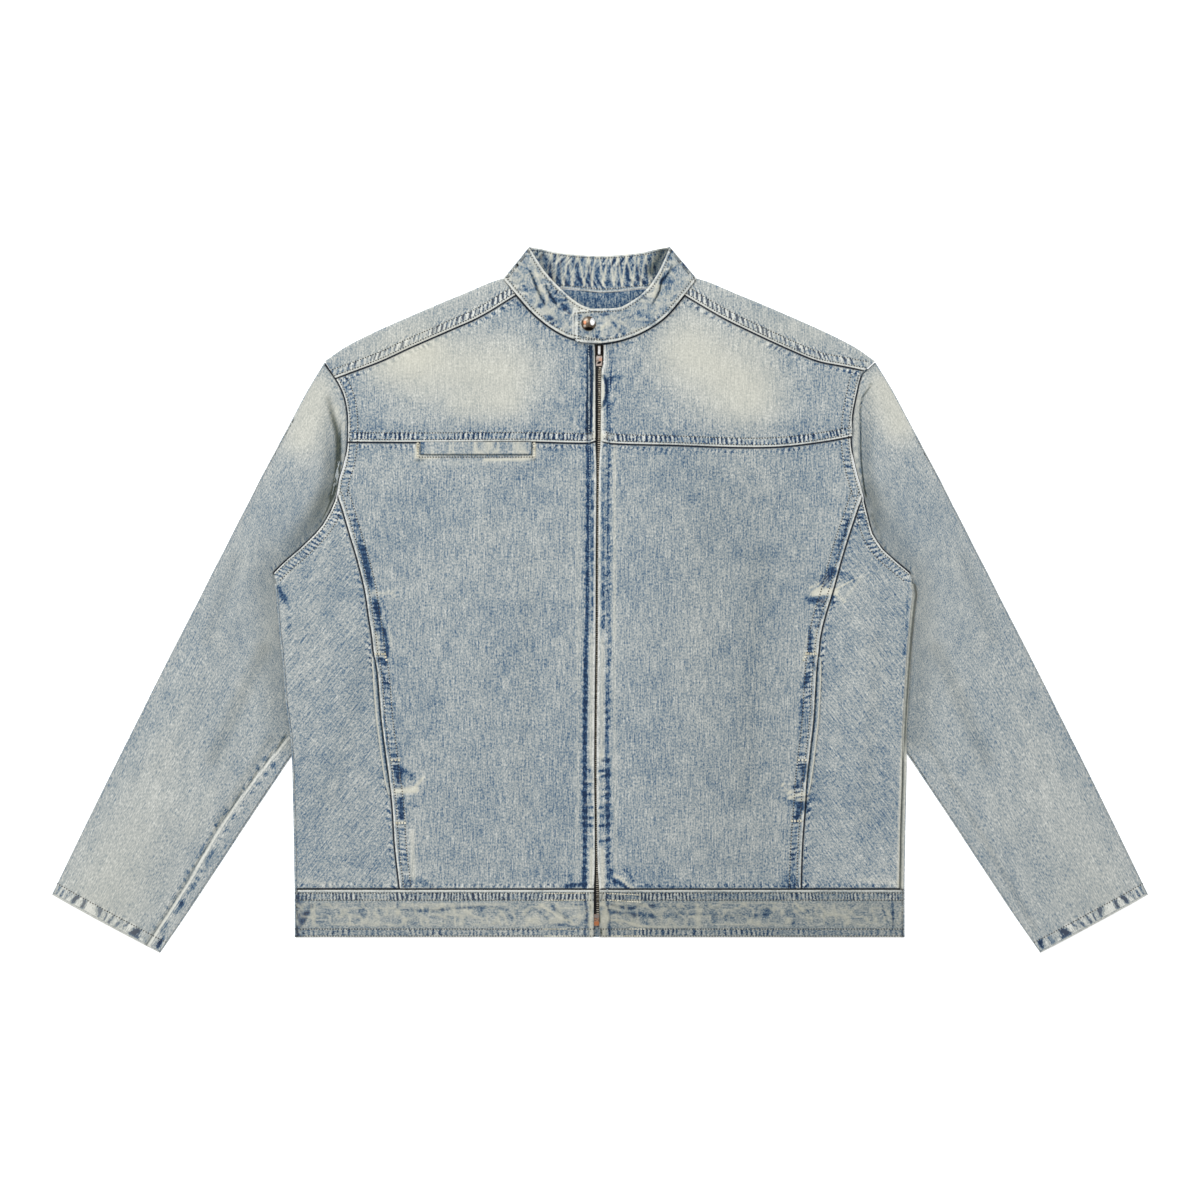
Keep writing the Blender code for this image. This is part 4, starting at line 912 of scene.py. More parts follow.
def add_mesh(name: str, points: Array, quads: Array, smooth: bool = True) -> Object:
    """Makes a mesh object from points in millimetres and quads.

    Args:
        name: of the object.
        points: n by 3.
        quads: m by 4 indices.
        smooth: shade smooth.

    Returns:
        The object.
    """
    mesh = bpy.data.meshes.new(name)
    mesh.vertices.add(len(points))
    mesh.vertices.foreach_set("co", (points * MM).astype(np.float32).ravel())
    mesh.loops.add(quads.size)
    mesh.loops.foreach_set("vertex_index", quads.astype(np.int32).ravel())
    mesh.polygons.add(len(quads))
    mesh.polygons.foreach_set("loop_start", np.arange(0, quads.size, quads.shape[1], dtype=np.int32))
    mesh.polygons.foreach_set("use_smooth", np.full(len(quads), smooth))
    mesh.update(calc_edges=True)
    mesh.validate()
    return placed(name, mesh)


def add_solid(name: str, points: Array, faces: Sequence, smooth: bool = True, edges: Sequence = ()) -> Object:
    """Makes a mesh object from points in millimetres, and faces or edges of any size.

    Args:
        name: of the object.
        points: n by 3.
        faces: indices of each face.
        smooth: shade smooth.
        edges: indices of loose edges.

    Returns:
        The object.
    """
    mesh = bpy.data.meshes.new(name)
    mesh.from_pydata((points * MM).tolist(), edges, faces)
    if smooth:
        mesh.polygons.foreach_set("use_smooth", np.ones(len(mesh.polygons), bool))
    return placed(name, mesh)


def put_attribute(made: Object, name: str, values: Array) -> None:
    """Stores three values per point."""
    layer = made.data.attributes.new(name, "FLOAT_VECTOR", "POINT")
    layer.data.foreach_set("vector", values.astype(np.float32).ravel())


def grid_quads(rows: int, columns: int, wrap: bool = False, first: int = 0, flip: bool = False) -> Array:
    """Quads of a grid of points, row by row.

    Args:
        rows: of points.
        columns: of points.
        wrap: the last column meets the first.
        first: index of the first point.
        flip: turn the faces round.

    Returns:
        n by 4 indices.
    """
    index = np.arange(rows * columns).reshape(rows, columns) + first
    right = np.roll(index, -1, axis=1)
    if not wrap:
        index, right = index[:, :-1], right[:, :-1]
    quads = np.stack([index[:-1], right[:-1], right[1:], index[1:]], -1).reshape(-1, 4)
    return quads[:, ::-1] if flip else quads


def shell_quads(rows: int, columns: int, wrap: bool, flip: bool) -> Array:
    """Quads of an outer grid, an inner grid after it and the walls that join them.

    Args:
        rows: of points.
        columns: of points.
        wrap: the last column meets the first.
        flip: turn the faces round.

    Returns:
        n by 4 indices.
    """
    count = rows * columns
    index = np.arange(count).reshape(rows, columns)
    parts = [grid_quads(rows, columns, wrap, 0, flip), grid_quads(rows, columns, wrap, count, not flip)]
    borders = [(index[0], wrap), (index[-1][::-1], wrap)]
    if not wrap:
        borders += [(index[::-1, 0], False), (index[:, -1], False)]
    for border, closed in borders:
        start = border if closed else border[:-1]
        end = np.roll(border, -1) if closed else border[1:]
        wall = np.stack([end, start, start + count, end + count], -1)
        parts.append(wall[:, ::-1] if flip else wall)
    return np.vstack(parts)


class Skin:
    """One face of a piece of cloth, and what its finish reads."""

    def __init__(self, points: Array) -> None:
        """Starts plain.

        Args:
            points: rows by columns by 3, in millimetres.
        """
        self.points = points
        shape = points.shape[:2]
        self.seams = {name: np.stack([np.full(shape, FAR), *np.zeros((2, *shape))], -1) for name in "ab"}
        # Per point: how pale, how blue and how much painted shade.
        self.rows, self.wash = np.zeros((2, *shape, 3))

    def plan(self) -> Array:
        """x and y of the points."""
        return self.points[..., :2]

    def pucker(self, channel: str, seams: Sequence[Seam], only: Array | float = 1.0) -> None:
        """Puckers the cloth along seams; each point follows the nearest one.

        Args:
            channel: "a" or "b".
            seams: the seams of this channel.
            only: cover, where the puckers apply.
        """
        best, second = self.seams[channel], np.zeros(self.points.shape[:2])
        for seam in seams:
            station, phase, strength = seam.read(self.plan())
            nearer = np.abs(station) < np.abs(best[..., 0])
            best[nearer] = np.stack([station, phase, strength], -1)[nearer]
            second[nearer] = float(len(seam.rows) > 1 and not seam.under)
            raised = seam.relief * strength * window(station) * np.sin(math.tau * phase)
            for row in range(len(seam.rows)):
                raised = raised - STITCH_DENT * np.exp(-((np.abs(station) - 1.0 - row) / STITCH_SPREAD) ** 2)
            if not seam.under:
                raised = raised - EDGE_DENT * np.clip(1.0 - station / 0.5, 0.0, 1.0) ** 2
            shown = ease(-station) if seam.under else 1.0
            self.points[..., 2] += np.where(nearer, raised, 0.0) * only * shown
        best[..., 0] = best[..., 0] * only + FAR * (1 - only)
        self.rows[..., "ab".index(channel)] = second

    def dress(self, marks: Sequence[Mark], fade: Array | float = 0.0, only: Array | float = 1.0) -> Array:
        """Lays marks on the cloth, and returns how far they raise it.

        Args:
            marks: the marks.
            fade: extra lightening all over.
            only: cover, where they apply.

        Returns:
            Height of the relief at each point.
        """
        relief = np.zeros(self.points.shape[:2])
        for mark in marks:
            cover = mark.read(self.plan()) * only
            self.wash += cover[..., None] * np.array([mark.pale, mark.indigo, mark.shade])
            relief += cover * mark.height
        self.wash[..., 0] += fade
        self.points[..., 2] += relief
        return relief

    def crumple(self, cover: Array | float, across: float, along: float, height: float, pale: float,
                indigo: float, seed: int, plan: Array | None = None) -> None:
        """Small uneven ridges with worn tops and blue hollows.

        Args:
            cover: where they are, from 0 to 1.
            across: size of a ridge along x.
            along: its size along y.
            height: of the ridges.
            pale: how worn their tops are.
            indigo: how blue the hollows are.
            seed: of the pattern.
            plan: other coordinates to lay them in.
        """
        at = self.plan() if plan is None else plan
        x, y = at[..., 0] / across + 60, at[..., 1] / along + 60
        bend = noise(x * 0.6 + 5, y * 0.6 + 9, seed + 3)
        first = noise(x + 1.6 * bend + 3, y + 40, seed)
        ridge = np.clip(1.0 - np.abs(first - 0.5) * 5.0, 0.0, 1.0) ** 1.5
        hollow = ease((noise(x * 0.9 + 20, y * 0.9 + 8 + bend, seed + 1) - 0.5) * 3.0) * (1 - ridge)
        patchy = 0.35 + 1.1 * noise(x * 0.25 + 3, y * 0.25, seed + 2)
        self.points[..., 2] += height * (ridge - 0.5 * hollow) * cover
        self.wash[..., 0] += pale * ridge * cover
        self.wash[..., 1] += indigo * hollow * patchy * cover


@dataclass
class Surface:
    """The two faces of a piece of cloth.

    Args:
        outer: rows by columns by 3, in millimetres.
        inner: the same, for the other face.
        flat: rows by columns by 2, the place in the laid out cloth, warp along the second.
        wrap: the last column meets the first.
        flip: turn the faces round.
    """

    outer: Array
    inner: Array
    flat: Array
    wrap: bool = False
    flip: bool = False

    def __post_init__(self) -> None:
        """Makes a skin for each face."""
        self.face, self.lining = Skin(self.outer), Skin(self.inner)

    def dress(self, marks: Sequence[Mark], fade: Array | float = 0.0, only: Array | float = 1.0) -> None:
        """Lays marks on the face; the lining follows it up."""
        self.inner[..., 2] += np.maximum(self.face.dress(marks, fade, only), 0.0)

    def build(self, name: str, material: Material) -> Object:
        """Makes the closed shell.

        Args:
            name: of the object.
            material: its finish.

        Returns:
            The piece, with what its finish reads.
        """
        rows, columns = self.outer.shape[:2]
        points = np.vstack([self.outer.reshape(-1, 3), self.inner.reshape(-1, 3)])
        made = add_mesh(name, points, shell_quads(rows, columns, self.wrap, self.flip))
        made.data.materials.append(material)
        cloth = np.concatenate([self.flat * MM, np.zeros((rows, columns, 1))], -1)
        layers = {"cloth": (cloth, cloth + np.array([0.0, 0.0, 1.0]))}
        faces = self.face, self.lining
        layers |= {f"seam_{channel}": [skin.seams[channel] for skin in faces] for channel in "ab"}
        layers |= {label: [getattr(skin, label) for skin in faces] for label in ("rows", "wash")}
        for layer, (outer, inner) in layers.items():
            put_attribute(made, layer, np.vstack([outer.reshape(-1, 3), inner.reshape(-1, 3)]))
        return made


def clearance(plan: Array, *lines: Line) -> Array:
    """Distance of each point from the nearest of some lines."""
    return np.minimum.reduce([line.nearest(plan)[0] for line in lines])


def every_row(rows: Array, values: Sequence) -> Array:
    """The same values for every row of a grid."""
    return np.tile(np.asarray(values, float), (len(rows), 1))


def undulate(plan: Array, seed: int, height: float, size: float, edge: Array) -> Array:
    """Soft rises of the cloth away from its seams.

    Args:
        plan: x and y of the points.
        seed: of the pattern.
        height: of the highest rise.
        size: of a rise.
        edge: distance from the nearest seam.

    Returns:
        Height of the rises.
    """
    x, y = plan[..., 0], plan[..., 1]
    lumps = noise(x / size + 31, y / (1.7 * size) + 17, seed) * 0.65
    lumps = lumps + noise(x / size * 2.3, y / size * 1.7, seed + 1) * 0.35
    return height * lumps * ease((edge - 6.0) / 45.0)


# ---------------------------------------------------------------- finishes

def linear(colour: Sequence[float]) -> tuple[float, float, float, float]:
    """Shader colour for a display colour given from 0 to 255."""
    out = [(value / 255 / 12.92) if value <= 10 else ((value / 255 + 0.055) / 1.055) ** 2.4
           for value in colour]
    return (*out, 1.0)


class Graph:
    """Short hand for building a node tree."""

    def __init__(self, tree: Tree) -> None:
        """Works on this tree."""
        self.tree = tree

    def node(self, kind: str, **values) -> Node:
        """Adds a node; names with a leading underscore are its properties, the others its inputs.

        Args:
            kind: type of the node.
            values: its properties and inputs.

        Returns:
            The node.
        """
        made = self.tree.nodes.new(kind)
        for name in [name for name in values if name.startswith("_")]:
            setattr(made, name[1:], values.pop(name))
        self.fill(made, **values)
        return made

    def fill(self, made: Node, **values) -> None:
        """Wires or sets inputs of a node, each space of their names an underscore."""
        for name, value in values.items():
            self.wire(made.inputs[name.replace("_", " ")], value)

    def wire(self, socket: Socket, value) -> None:
        """Links a socket, or sets its value.

        Args:
            socket: an input.
            value: an output, or a plain value.
        """
        if isinstance(value, Socket):
            self.tree.links.new(value, socket)
        else:
            socket.default_value = value

    def math(self, operation: str, *values, kind: str = "ShaderNodeMath") -> Socket:
        """A maths node.

        Args:
            operation: of the node.
            values: its inputs.
            kind: type of the node.

        Returns:
            Its result.
        """
        made = self.node(kind, _operation=operation)
        for socket, value in zip(made.inputs, values):
            self.wire(socket, value)
        return made.outputs["Value" if operation == "LENGTH" else 0]

    def vector(self, operation: str, *values) -> Socket:
        """A vector maths node."""
        return self.math(operation, *values, kind="ShaderNodeVectorMath")

    def total(self, *terms) -> Socket:
        """The sum of several values.

        Args:
            terms: the values.

        Returns:
            The sum.
        """
        made = terms[0]
        for term in terms[1:]:
            made = self.math("ADD", made, term)
        return made

    def product(self, *terms) -> Socket:
        """The product of several values.

        Args:
            terms: the values.

        Returns:
            The product.
        """
        made = terms[0]
        for term in terms[1:]:
            made = self.math("MULTIPLY", made, term)
        return made

    def smooth(self, value, low: float, high: float, start: float = 0.0, end: float = 1.0) -> Socket:
        """Smooth step of a value between two limits, from start to end."""
        return self.node("ShaderNodeMapRange", _interpolation_type="SMOOTHSTEP", Value=value, From_Min=low,
                         From_Max=high, To_Min=start, To_Max=end).outputs[0]

    def grain(self, vector, stretch: tuple, scale: float, detail: float = 2.0, rough: float = 0.6) -> Socket:
        """A noise over a stretched vector."""
        return self.node("ShaderNodeTexNoise", Vector=self.vector("MULTIPLY", vector, stretch), Scale=scale,
                         Detail=detail, Roughness=rough).outputs[0]

    def mix(self, factor, first, second, blend: str = "MIX") -> Socket:
        """One colour laid over another."""
        return self.node("ShaderNodeMix", _data_type="RGBA", _blend_type=blend, Factor=factor, A=first,
                         B=second).outputs["Result"]

    def bump(self, strength: float, distance: float, height) -> Socket:
        """The normal of a relief."""
        bump = self.node("ShaderNodeBump", Strength=strength, Distance=distance, Height=height)
        return bump.outputs["Normal"]


EVEN = (1.0, 1.0, 1.0)


def new_material(name: str, colour: Sequence | None = None) -> tuple[Material, Graph, Node]:
    """A new material, its graph and its shader.

    Args:
        name: of the material.
        colour: of its plain look, from 0 to 255.

    Returns:
        The three.
    """
    material = bpy.data.materials.new(name)
    material.use_nodes = True
    if colour:
        material.diffuse_color = linear(colour)
    return material, Graph(material.node_tree), material.node_tree.nodes["Principled BSDF"]


def group(name: str, inputs: dict, outputs: dict) -> tuple[Tree, Graph, dict, Node]:
    """An empty shader group.

    Args:
        name: of the group.
        inputs: socket type by name.
        outputs: the same.

    Returns:
        The group, its graph, its inputs by name and its output node.
    """
    tree = bpy.data.node_groups.new(name, "ShaderNodeTree")
    for sockets, way in ((inputs, "INPUT"), (outputs, "OUTPUT")):
        for label, kind in sockets.items():
            tree.interface.new_socket(label, in_out=way, socket_type=f"NodeSocket{kind}")
    graph = Graph(tree)
    start, end = tree.nodes.new("NodeGroupInput"), tree.nodes.new("NodeGroupOutput")
    return tree, graph, {socket.name: socket for socket in start.outputs if socket.name}, end


class Effects:
    """Shader groups that the finishes share."""

    def __init__(self) -> None:
        """Builds each group once."""
        self.wear = self._wear()
        self.weave = self._weave()
        self.tint = self._tint()

    @staticmethod
    def _wear() -> Tree:
        """Worn rims, painted shadow lines in the gaps, stitch lines and puckers beside a seam.

        Returns:
            The group.
        """
        tree, g, socket, end = group("Seam wear", {"Seam": "Vector", "Second": "Float", "Grain": "Float"},
                                     {"Tone": "Float", "Gap": "Float"})
        parts = g.node("ShaderNodeSeparateXYZ", Vector=socket["Seam"])
        station, phase, strength = parts.outputs
        away = g.math("ABSOLUTE", station)
        near = g.smooth(strength, 0.0, 0.02)
        above = g.product(near, g.smooth(station, -0.02, 0.04))
        rim = g.product(above, g.smooth(station, 0.3, 0.58, 1.0, 0.0))
        # Painted shadow: dark just beside an upper piece's edge, on the piece under it.
        gap_shadow = g.product(near, g.smooth(station, -0.85, -0.36), g.smooth(station, -0.03, 0.0, 1.0, 0.0))
        off = [g.math("ABSOLUTE", g.math("SUBTRACT", station, row)) for row in (1.0, 2.0)]
        first = g.product(above, g.smooth(off[0], 0.04, 0.14, 1.0, 0.0))
        second = g.product(socket["Second"], g.smooth(off[1], 0.03, 0.12, 1.0, 0.0))
        wave = g.math("SINE", g.math("MULTIPLY", phase, math.tau))
        place = g.node("ShaderNodeCombineXYZ", X=phase, Y=g.math("MULTIPLY", away, 0.55)).outputs[0]
        blob = g.grain(place, EVEN, 1.25, 2.0, 0.55)
        ragged = g.total(g.math("MULTIPLY", wave, 0.95),
                         g.math("MULTIPLY", g.math("SUBTRACT", blob, 0.5), 4.8),
                         g.math("MULTIPLY", g.math("SUBTRACT", socket["Grain"], 0.5), 2.4))
        ridge = g.smooth(ragged, 0.2, 1.0)
        dale = g.smooth(ragged, -0.1, -0.9)
        show = g.product(g.smooth(away, 0.7, 1.05), g.smooth(away, 1.9, 2.15, 1.0, 0.28),
                         g.smooth(away, 2.2, 3.4, 1.0, 0.0))
        strip = g.product(g.smooth(station, 0.6, 1.0), g.smooth(station, 1.9, 2.2, 1.0, 0.0))
        swing = g.total(g.math("MULTIPLY", ridge, 0.3), g.math("MULTIPLY", dale, -0.6))
        folded = g.product(rim, g.math("MULTIPLY_ADD", blob, 0.3, 0.26),
                           g.math("MULTIPLY_ADD", strength, 0.6, 0.6))
        tone = g.total(g.product(show, strength, swing), g.product(strip, strength, -0.05), folded,
                       g.product(g.total(first, second), 0.15))
        g.fill(end, Tone=tone, Gap=gap_shadow)
        return tree

    @staticmethod
    def _weave() -> Tree:
        """Slubs, streaks and blotches of washed denim, and its twill.

        Returns:
            The group.
        """
        tree, g, socket, end = group("Denim weave", {"Cloth": "Vector", "Mottle": "Float", "Streak": "Float"},
                                     {"Tone": "Float", "Grain": "Float", "Lump": "Float", "Height": "Float"})
        cloth = socket["Cloth"]
        thread = g.grain(cloth, (1.0, 0.7, 1.0), 680.0, 2.0, 0.55)
        lump = g.grain(cloth, (1.0, 0.7, 1.0), 430.0, 2.0, 0.6)
        streak = g.grain(cloth, (1.0, 0.07, 1.0), 760.0, 1.0, 0.6)
        blotch = g.grain(cloth, (1.0, 0.8, 1.0), 70.0, 3.0, 0.65)
        broad = g.grain(cloth, (1.0, 0.8, 1.0), 14.0, 2.0, 0.5)
        slub, knot, run, cloud, haze = [g.math("SUBTRACT", value, 0.5)
                                        for value in (thread, lump, streak, blotch, broad)]
        tone = g.total(g.product(g.total(g.product(slub, 1.6), g.product(knot, 0.62)), socket["Mottle"]),
                       g.product(run, socket["Streak"]), g.product(cloud, 0.3), g.product(haze, 0.26))
        twill = g.node("ShaderNodeTexWave", _wave_type="BANDS", _bands_direction="DIAGONAL", Vector=cloth,
                       Scale=560.0, Distortion=1.2, Detail=1.0)
        height = g.total(g.product(twill.outputs["Fac"], 0.4), g.product(thread, 0.8), g.product(lump, 0.5))
        ragged = g.grain(cloth, (1.0, 0.55, 1.0), 300.0, 3.0, 0.75)
        g.fill(end, Tone=tone, Grain=thread, Lump=ragged, Height=height)
        return tree

    @staticmethod
    def _tint() -> Tree:
        """Colour of the cloth from unwashed indigo to bare cotton, darkened by painted shade and by painted
        shadow in the seam gaps.

        Returns:
            The group.
        """
        tree, g, socket, end = group("Indigo wash", dict.fromkeys(("Tone", "Cream", "Shade", "Gap"), "Float"),
                                     {"Color": "Color"})
        ramp = g.node("ShaderNodeValToRGB", Fac=socket["Tone"])
        stops = ((0.0, (26, 48, 78)), (0.18, (52, 82, 115)), (0.36, (101, 122, 140)), (0.52, (146, 156, 160)),
                 (0.68, (178, 182, 180)), (0.84, (204, 207, 203)), (1.0, (224, 226, 221)))
        bands = ramp.color_ramp.elements
        while len(bands) < len(stops):
            bands.new(0.5)
        for band, (place, colour) in zip(bands, stops):
            band.position = place
            band.color = linear(colour)
        cream = g.mix(socket["Cream"], ramp.outputs["Color"], linear((206, 203, 184)))
        # Painted shade, multiplied in towards greenish grey.
        dark = g.mix(socket["Shade"], cream, linear((120, 124, 112)), "MULTIPLY")
        # Painted shadow colour of the seam gaps.
        g.fill(end, Color=g.mix(socket["Gap"], dark, linear((24, 34, 48))))
        return tree


@dataclass(frozen=True)
class Denim:
    """Washed denim of one part of the jacket.

    Args:
        name: of the material.
        tone: from 0, unwashed, to 1, bare cotton.
        mottle: contrast of the slubs.
        streak: contrast of the streaks along the warp.
    """

    name: str
    tone: float
    mottle: float = 0.62
    streak: float = 0.6

    def make(self, effects: Effects) -> Material:
        """Builds the material.

        Args:
            effects: the shared groups.

        Returns:
            The material.
        """
        material, g, shader = new_material(self.name, (155, 165, 171))
        read = {name: g.node("ShaderNodeAttribute", _attribute_name=name).outputs["Vector"]
                for name in ("cloth", "seam_a", "seam_b", "rows", "wash")}
        weave = g.node("ShaderNodeGroup", _node_tree=effects.weave, Cloth=read["cloth"], Mottle=self.mottle,
                       Streak=self.streak).outputs
        rows = g.node("ShaderNodeSeparateXYZ", Vector=read["rows"]).outputs
        wear = [g.node("ShaderNodeGroup", _node_tree=effects.wear, Seam=read[name], Second=rows[index],
                       Grain=weave["Grain"]).outputs for index, name in enumerate(("seam_a", "seam_b"))]
        pale, indigo, shade = g.node("ShaderNodeSeparateXYZ", Vector=read["wash"]).outputs
        lump = g.math("SUBTRACT", weave["Lump"], 0.5)
        kept = g.product(g.smooth(indigo, 0.0, 0.3),
                         g.smooth(g.math("MULTIPLY_ADD", lump, 2.2, indigo), 0.0, 1.15))
        bare = g.product(pale, g.math("MULTIPLY_ADD", lump, 1.3, 1.0))
        calm = g.smooth(pale, 0.1, 0.9, 1.0, 0.7)
        tone = g.total(g.product(weave["Tone"], calm), wear[0]["Tone"], wear[1]["Tone"],
                       g.product(bare, 0.24), g.product(kept, -0.47), self.tone)
        # The shade channel and the gap lines are painted shade and shadow.
        tint = g.node("ShaderNodeGroup", _node_tree=effects.tint, Tone=tone, Shade=shade,
                      Cream=g.product(g.smooth(pale, 0.0, 1.1), 0.6),
                      Gap=g.math("MAXIMUM", wear[0]["Gap"], wear[1]["Gap"])).outputs["Color"]
        g.fill(shader, Base_Color=tint, Roughness=0.86, Specular_IOR_Level=0.18, Sheen_Weight=0.12,
               Sheen_Roughness=0.5, Normal=g.bump(0.5, 0.0004, weave["Height"]))
        return material


@dataclass(frozen=True)
class Spot:
    """A soft oval of another colour on metal: its own colour, or a painted highlight, reflection or shade.

    Args:
        centre: x and y in millimetres.
        size: half its width and half its height, in millimetres.
        tint: its colour.
        turn: how far it is turned, in degrees.
        soft: share of its size over which it fades.
    """

    centre: tuple
    size: tuple
    tint: tuple
    turn: float = 0.0
    soft: float = 0.5


@dataclass(frozen=True)
class Metal:
    """Plated metal with worn colour, and painted highlights, reflections and shade where its spots and low
    parts give them.

    Args:
        name: of the material.
        bright: colour of the worn metal.
        dull: colour in the hollows.
        roughness: of the bright parts.
        spots: ovals of another colour, one over the other.
        dark_below: height in millimetres under which painted shade makes it near black.
    """

    name: str
    bright: tuple
    dull: tuple
    roughness: float
    spots: tuple = ()
    dark_below: float = 0.0

    def make(self) -> Material:
        """Builds the material.

        Returns:
            The material.
        """
        material, g, shader = new_material(self.name, self.bright)
        place = g.node("ShaderNodeTexCoord").outputs["Object"]
        cloud = g.grain(place, EVEN, 420.0, 3.0, 0.6)
        fine = g.grain(place, EVEN, 2600.0, 2.0, 0.6)
        colour = g.mix(g.smooth(cloud, 0.36, 0.62), linear(self.dull), linear(self.bright))
        for spot in self.spots:
            offset = g.vector("SUBTRACT", place, (spot.centre[0] * MM, spot.centre[1] * MM, 0.0))
            turned = g.node("ShaderNodeVectorRotate", _rotation_type="Z_AXIS", Vector=offset,
                            Angle=math.radians(-spot.turn)).outputs[0]
            scaled = g.vector("MULTIPLY", turned, (1 / (spot.size[0] * MM), 1 / (spot.size[1] * MM), 0.0))
            cover = g.smooth(g.vector("LENGTH", scaled), 1.0, 1.0 - spot.soft)
            colour = g.mix(cover, colour, linear(spot.tint))
        if self.dark_below:
            # Painted shade: near black below the height.
            height = g.node("ShaderNodeSeparateXYZ", Vector=place).outputs["Z"]
            cover = g.smooth(height, self.dark_below * MM, (self.dark_below - 0.6) * MM)
            colour = g.mix(cover, colour, linear((34, 30, 28)))
        g.fill(shader, Base_Color=colour, Metallic=1.0,
               Roughness=g.math("MULTIPLY_ADD", fine, 0.16, self.roughness),
               Normal=g.bump(0.25, 0.0001, fine))
        return material


@dataclass(frozen=True)
class Thread:
    """Spun cotton thread, or woven tape.

    Args:
        name: of the material.
        light: one end of its colour.
        dark: the other.
        size: of the patches of colour, per metre.
    """

    name: str
    light: tuple
    dark: tuple
    size: float = 160.0

    def make(self) -> Material:
        """Builds the material.

        Returns:
            The material.
        """
        material, g, shader = new_material(self.name, self.light)
        place = g.node("ShaderNodeTexCoord").outputs["Object"]
        cloud, twist = g.grain(place, EVEN, self.size, 3.0, 0.7), g.grain(place, EVEN, 3000.0, 1.0, 0.5)
        g.fill(shader, Base_Color=g.mix(g.smooth(cloud, 0.38, 0.62), linear(self.dark), linear(self.light)),
               Roughness=0.8, Normal=g.bump(0.4, 0.0002, twist))
        return material


class Finishes:
    """Every finish of the jacket."""

    def __init__(self) -> None:
        """Makes the materials."""
        effects = Effects()
        self.body = Denim("denim_body", 0.53).make(effects)
        self.sleeve = Denim("denim_sleeve", 0.56, streak=0.4).make(effects)
        self.trim = Denim("denim_trim", 0.5, streak=0.25).make(effects)
        self.back = Denim("denim_back", 0.5).make(effects)
        self.tape = Thread("zip_tape", (30, 31, 34), (14, 15, 17), 900.0).make()
        self.teeth = Metal("zip_teeth", (206, 200, 186), (128, 118, 102), 0.3).make()
        # The slider: painted shade makes its low parts near black.
        self.bridge = Metal("zip_bridge", (255, 255, 255), (214, 212, 208), 0.16, dark_below=5.6).make()
        black = (26, 24, 22)
        # On the pull, the three black spots are painted shade round the slider's bridge, and the small dark
        # oval is a painted hole with shade in it.
        self.pull = Metal("zip_pull", (190, 178, 170), (140, 124, 114), 0.26, (
            Spot((-3.6, 249.5), (2.4, 6.6), black, soft=0.3), Spot((2.0, 249.5), (2.4, 6.6), black, soft=0.3),
            Spot((-0.8, 252.0), (3.0, 3.4), black, soft=0.3), Spot((0.6, 240.6), (2.0, 2.4), (196, 158, 138)),
            Spot((-0.8, 237.4), (2.6, 1.5), (20, 18, 17), 25.0, 0.35))).make()
        self.copper = Metal("zip_box", (186, 150, 128), (128, 96, 78), 0.26, (
            Spot((-3.4, -316.4), (4.0, 2.6), (150, 140, 134)),
            Spot((-3.4, -323.5), (4.0, 2.6), (192, 124, 86)))).make()
        # The snap's colours are painted reflections: dark all over, pale at the upper and lower left, with a
        # copper patch at the left, painted black shade along the lower rim and a white painted highlight at
        # the right.
        self.snap_metal = Metal("snap_metal", (120, 106, 92), (84, 72, 62), 0.2, (
            Spot((-14.6, 280.2), (3.6, 2.6), (150, 140, 128), 35.0),
            Spot((-15.2, 276.4), (1.9, 2.9), (166, 112, 84)),
            Spot((-15.3, 273.4), (1.6, 1.5), (206, 196, 182)),
            Spot((-10.8, 270.6), (6.0, 2.3), (20, 17, 15)),
            Spot((-7.4, 277.8), (2.9, 4.5), (255, 255, 255), -6.0, 0.3))).make()
        self.threads = {Yarn.WORN: Thread("thread_worn", (84, 82, 74), (34, 36, 40)).make(),
                        Yarn.PALE: Thread("thread_pale", (176, 188, 192), (104, 124, 142)).make(),
                        Yarn.FRESH: Thread("thread_fresh", (226, 222, 204), (180, 174, 152)).make()}


# ---------------------------------------------------------------- what repeats

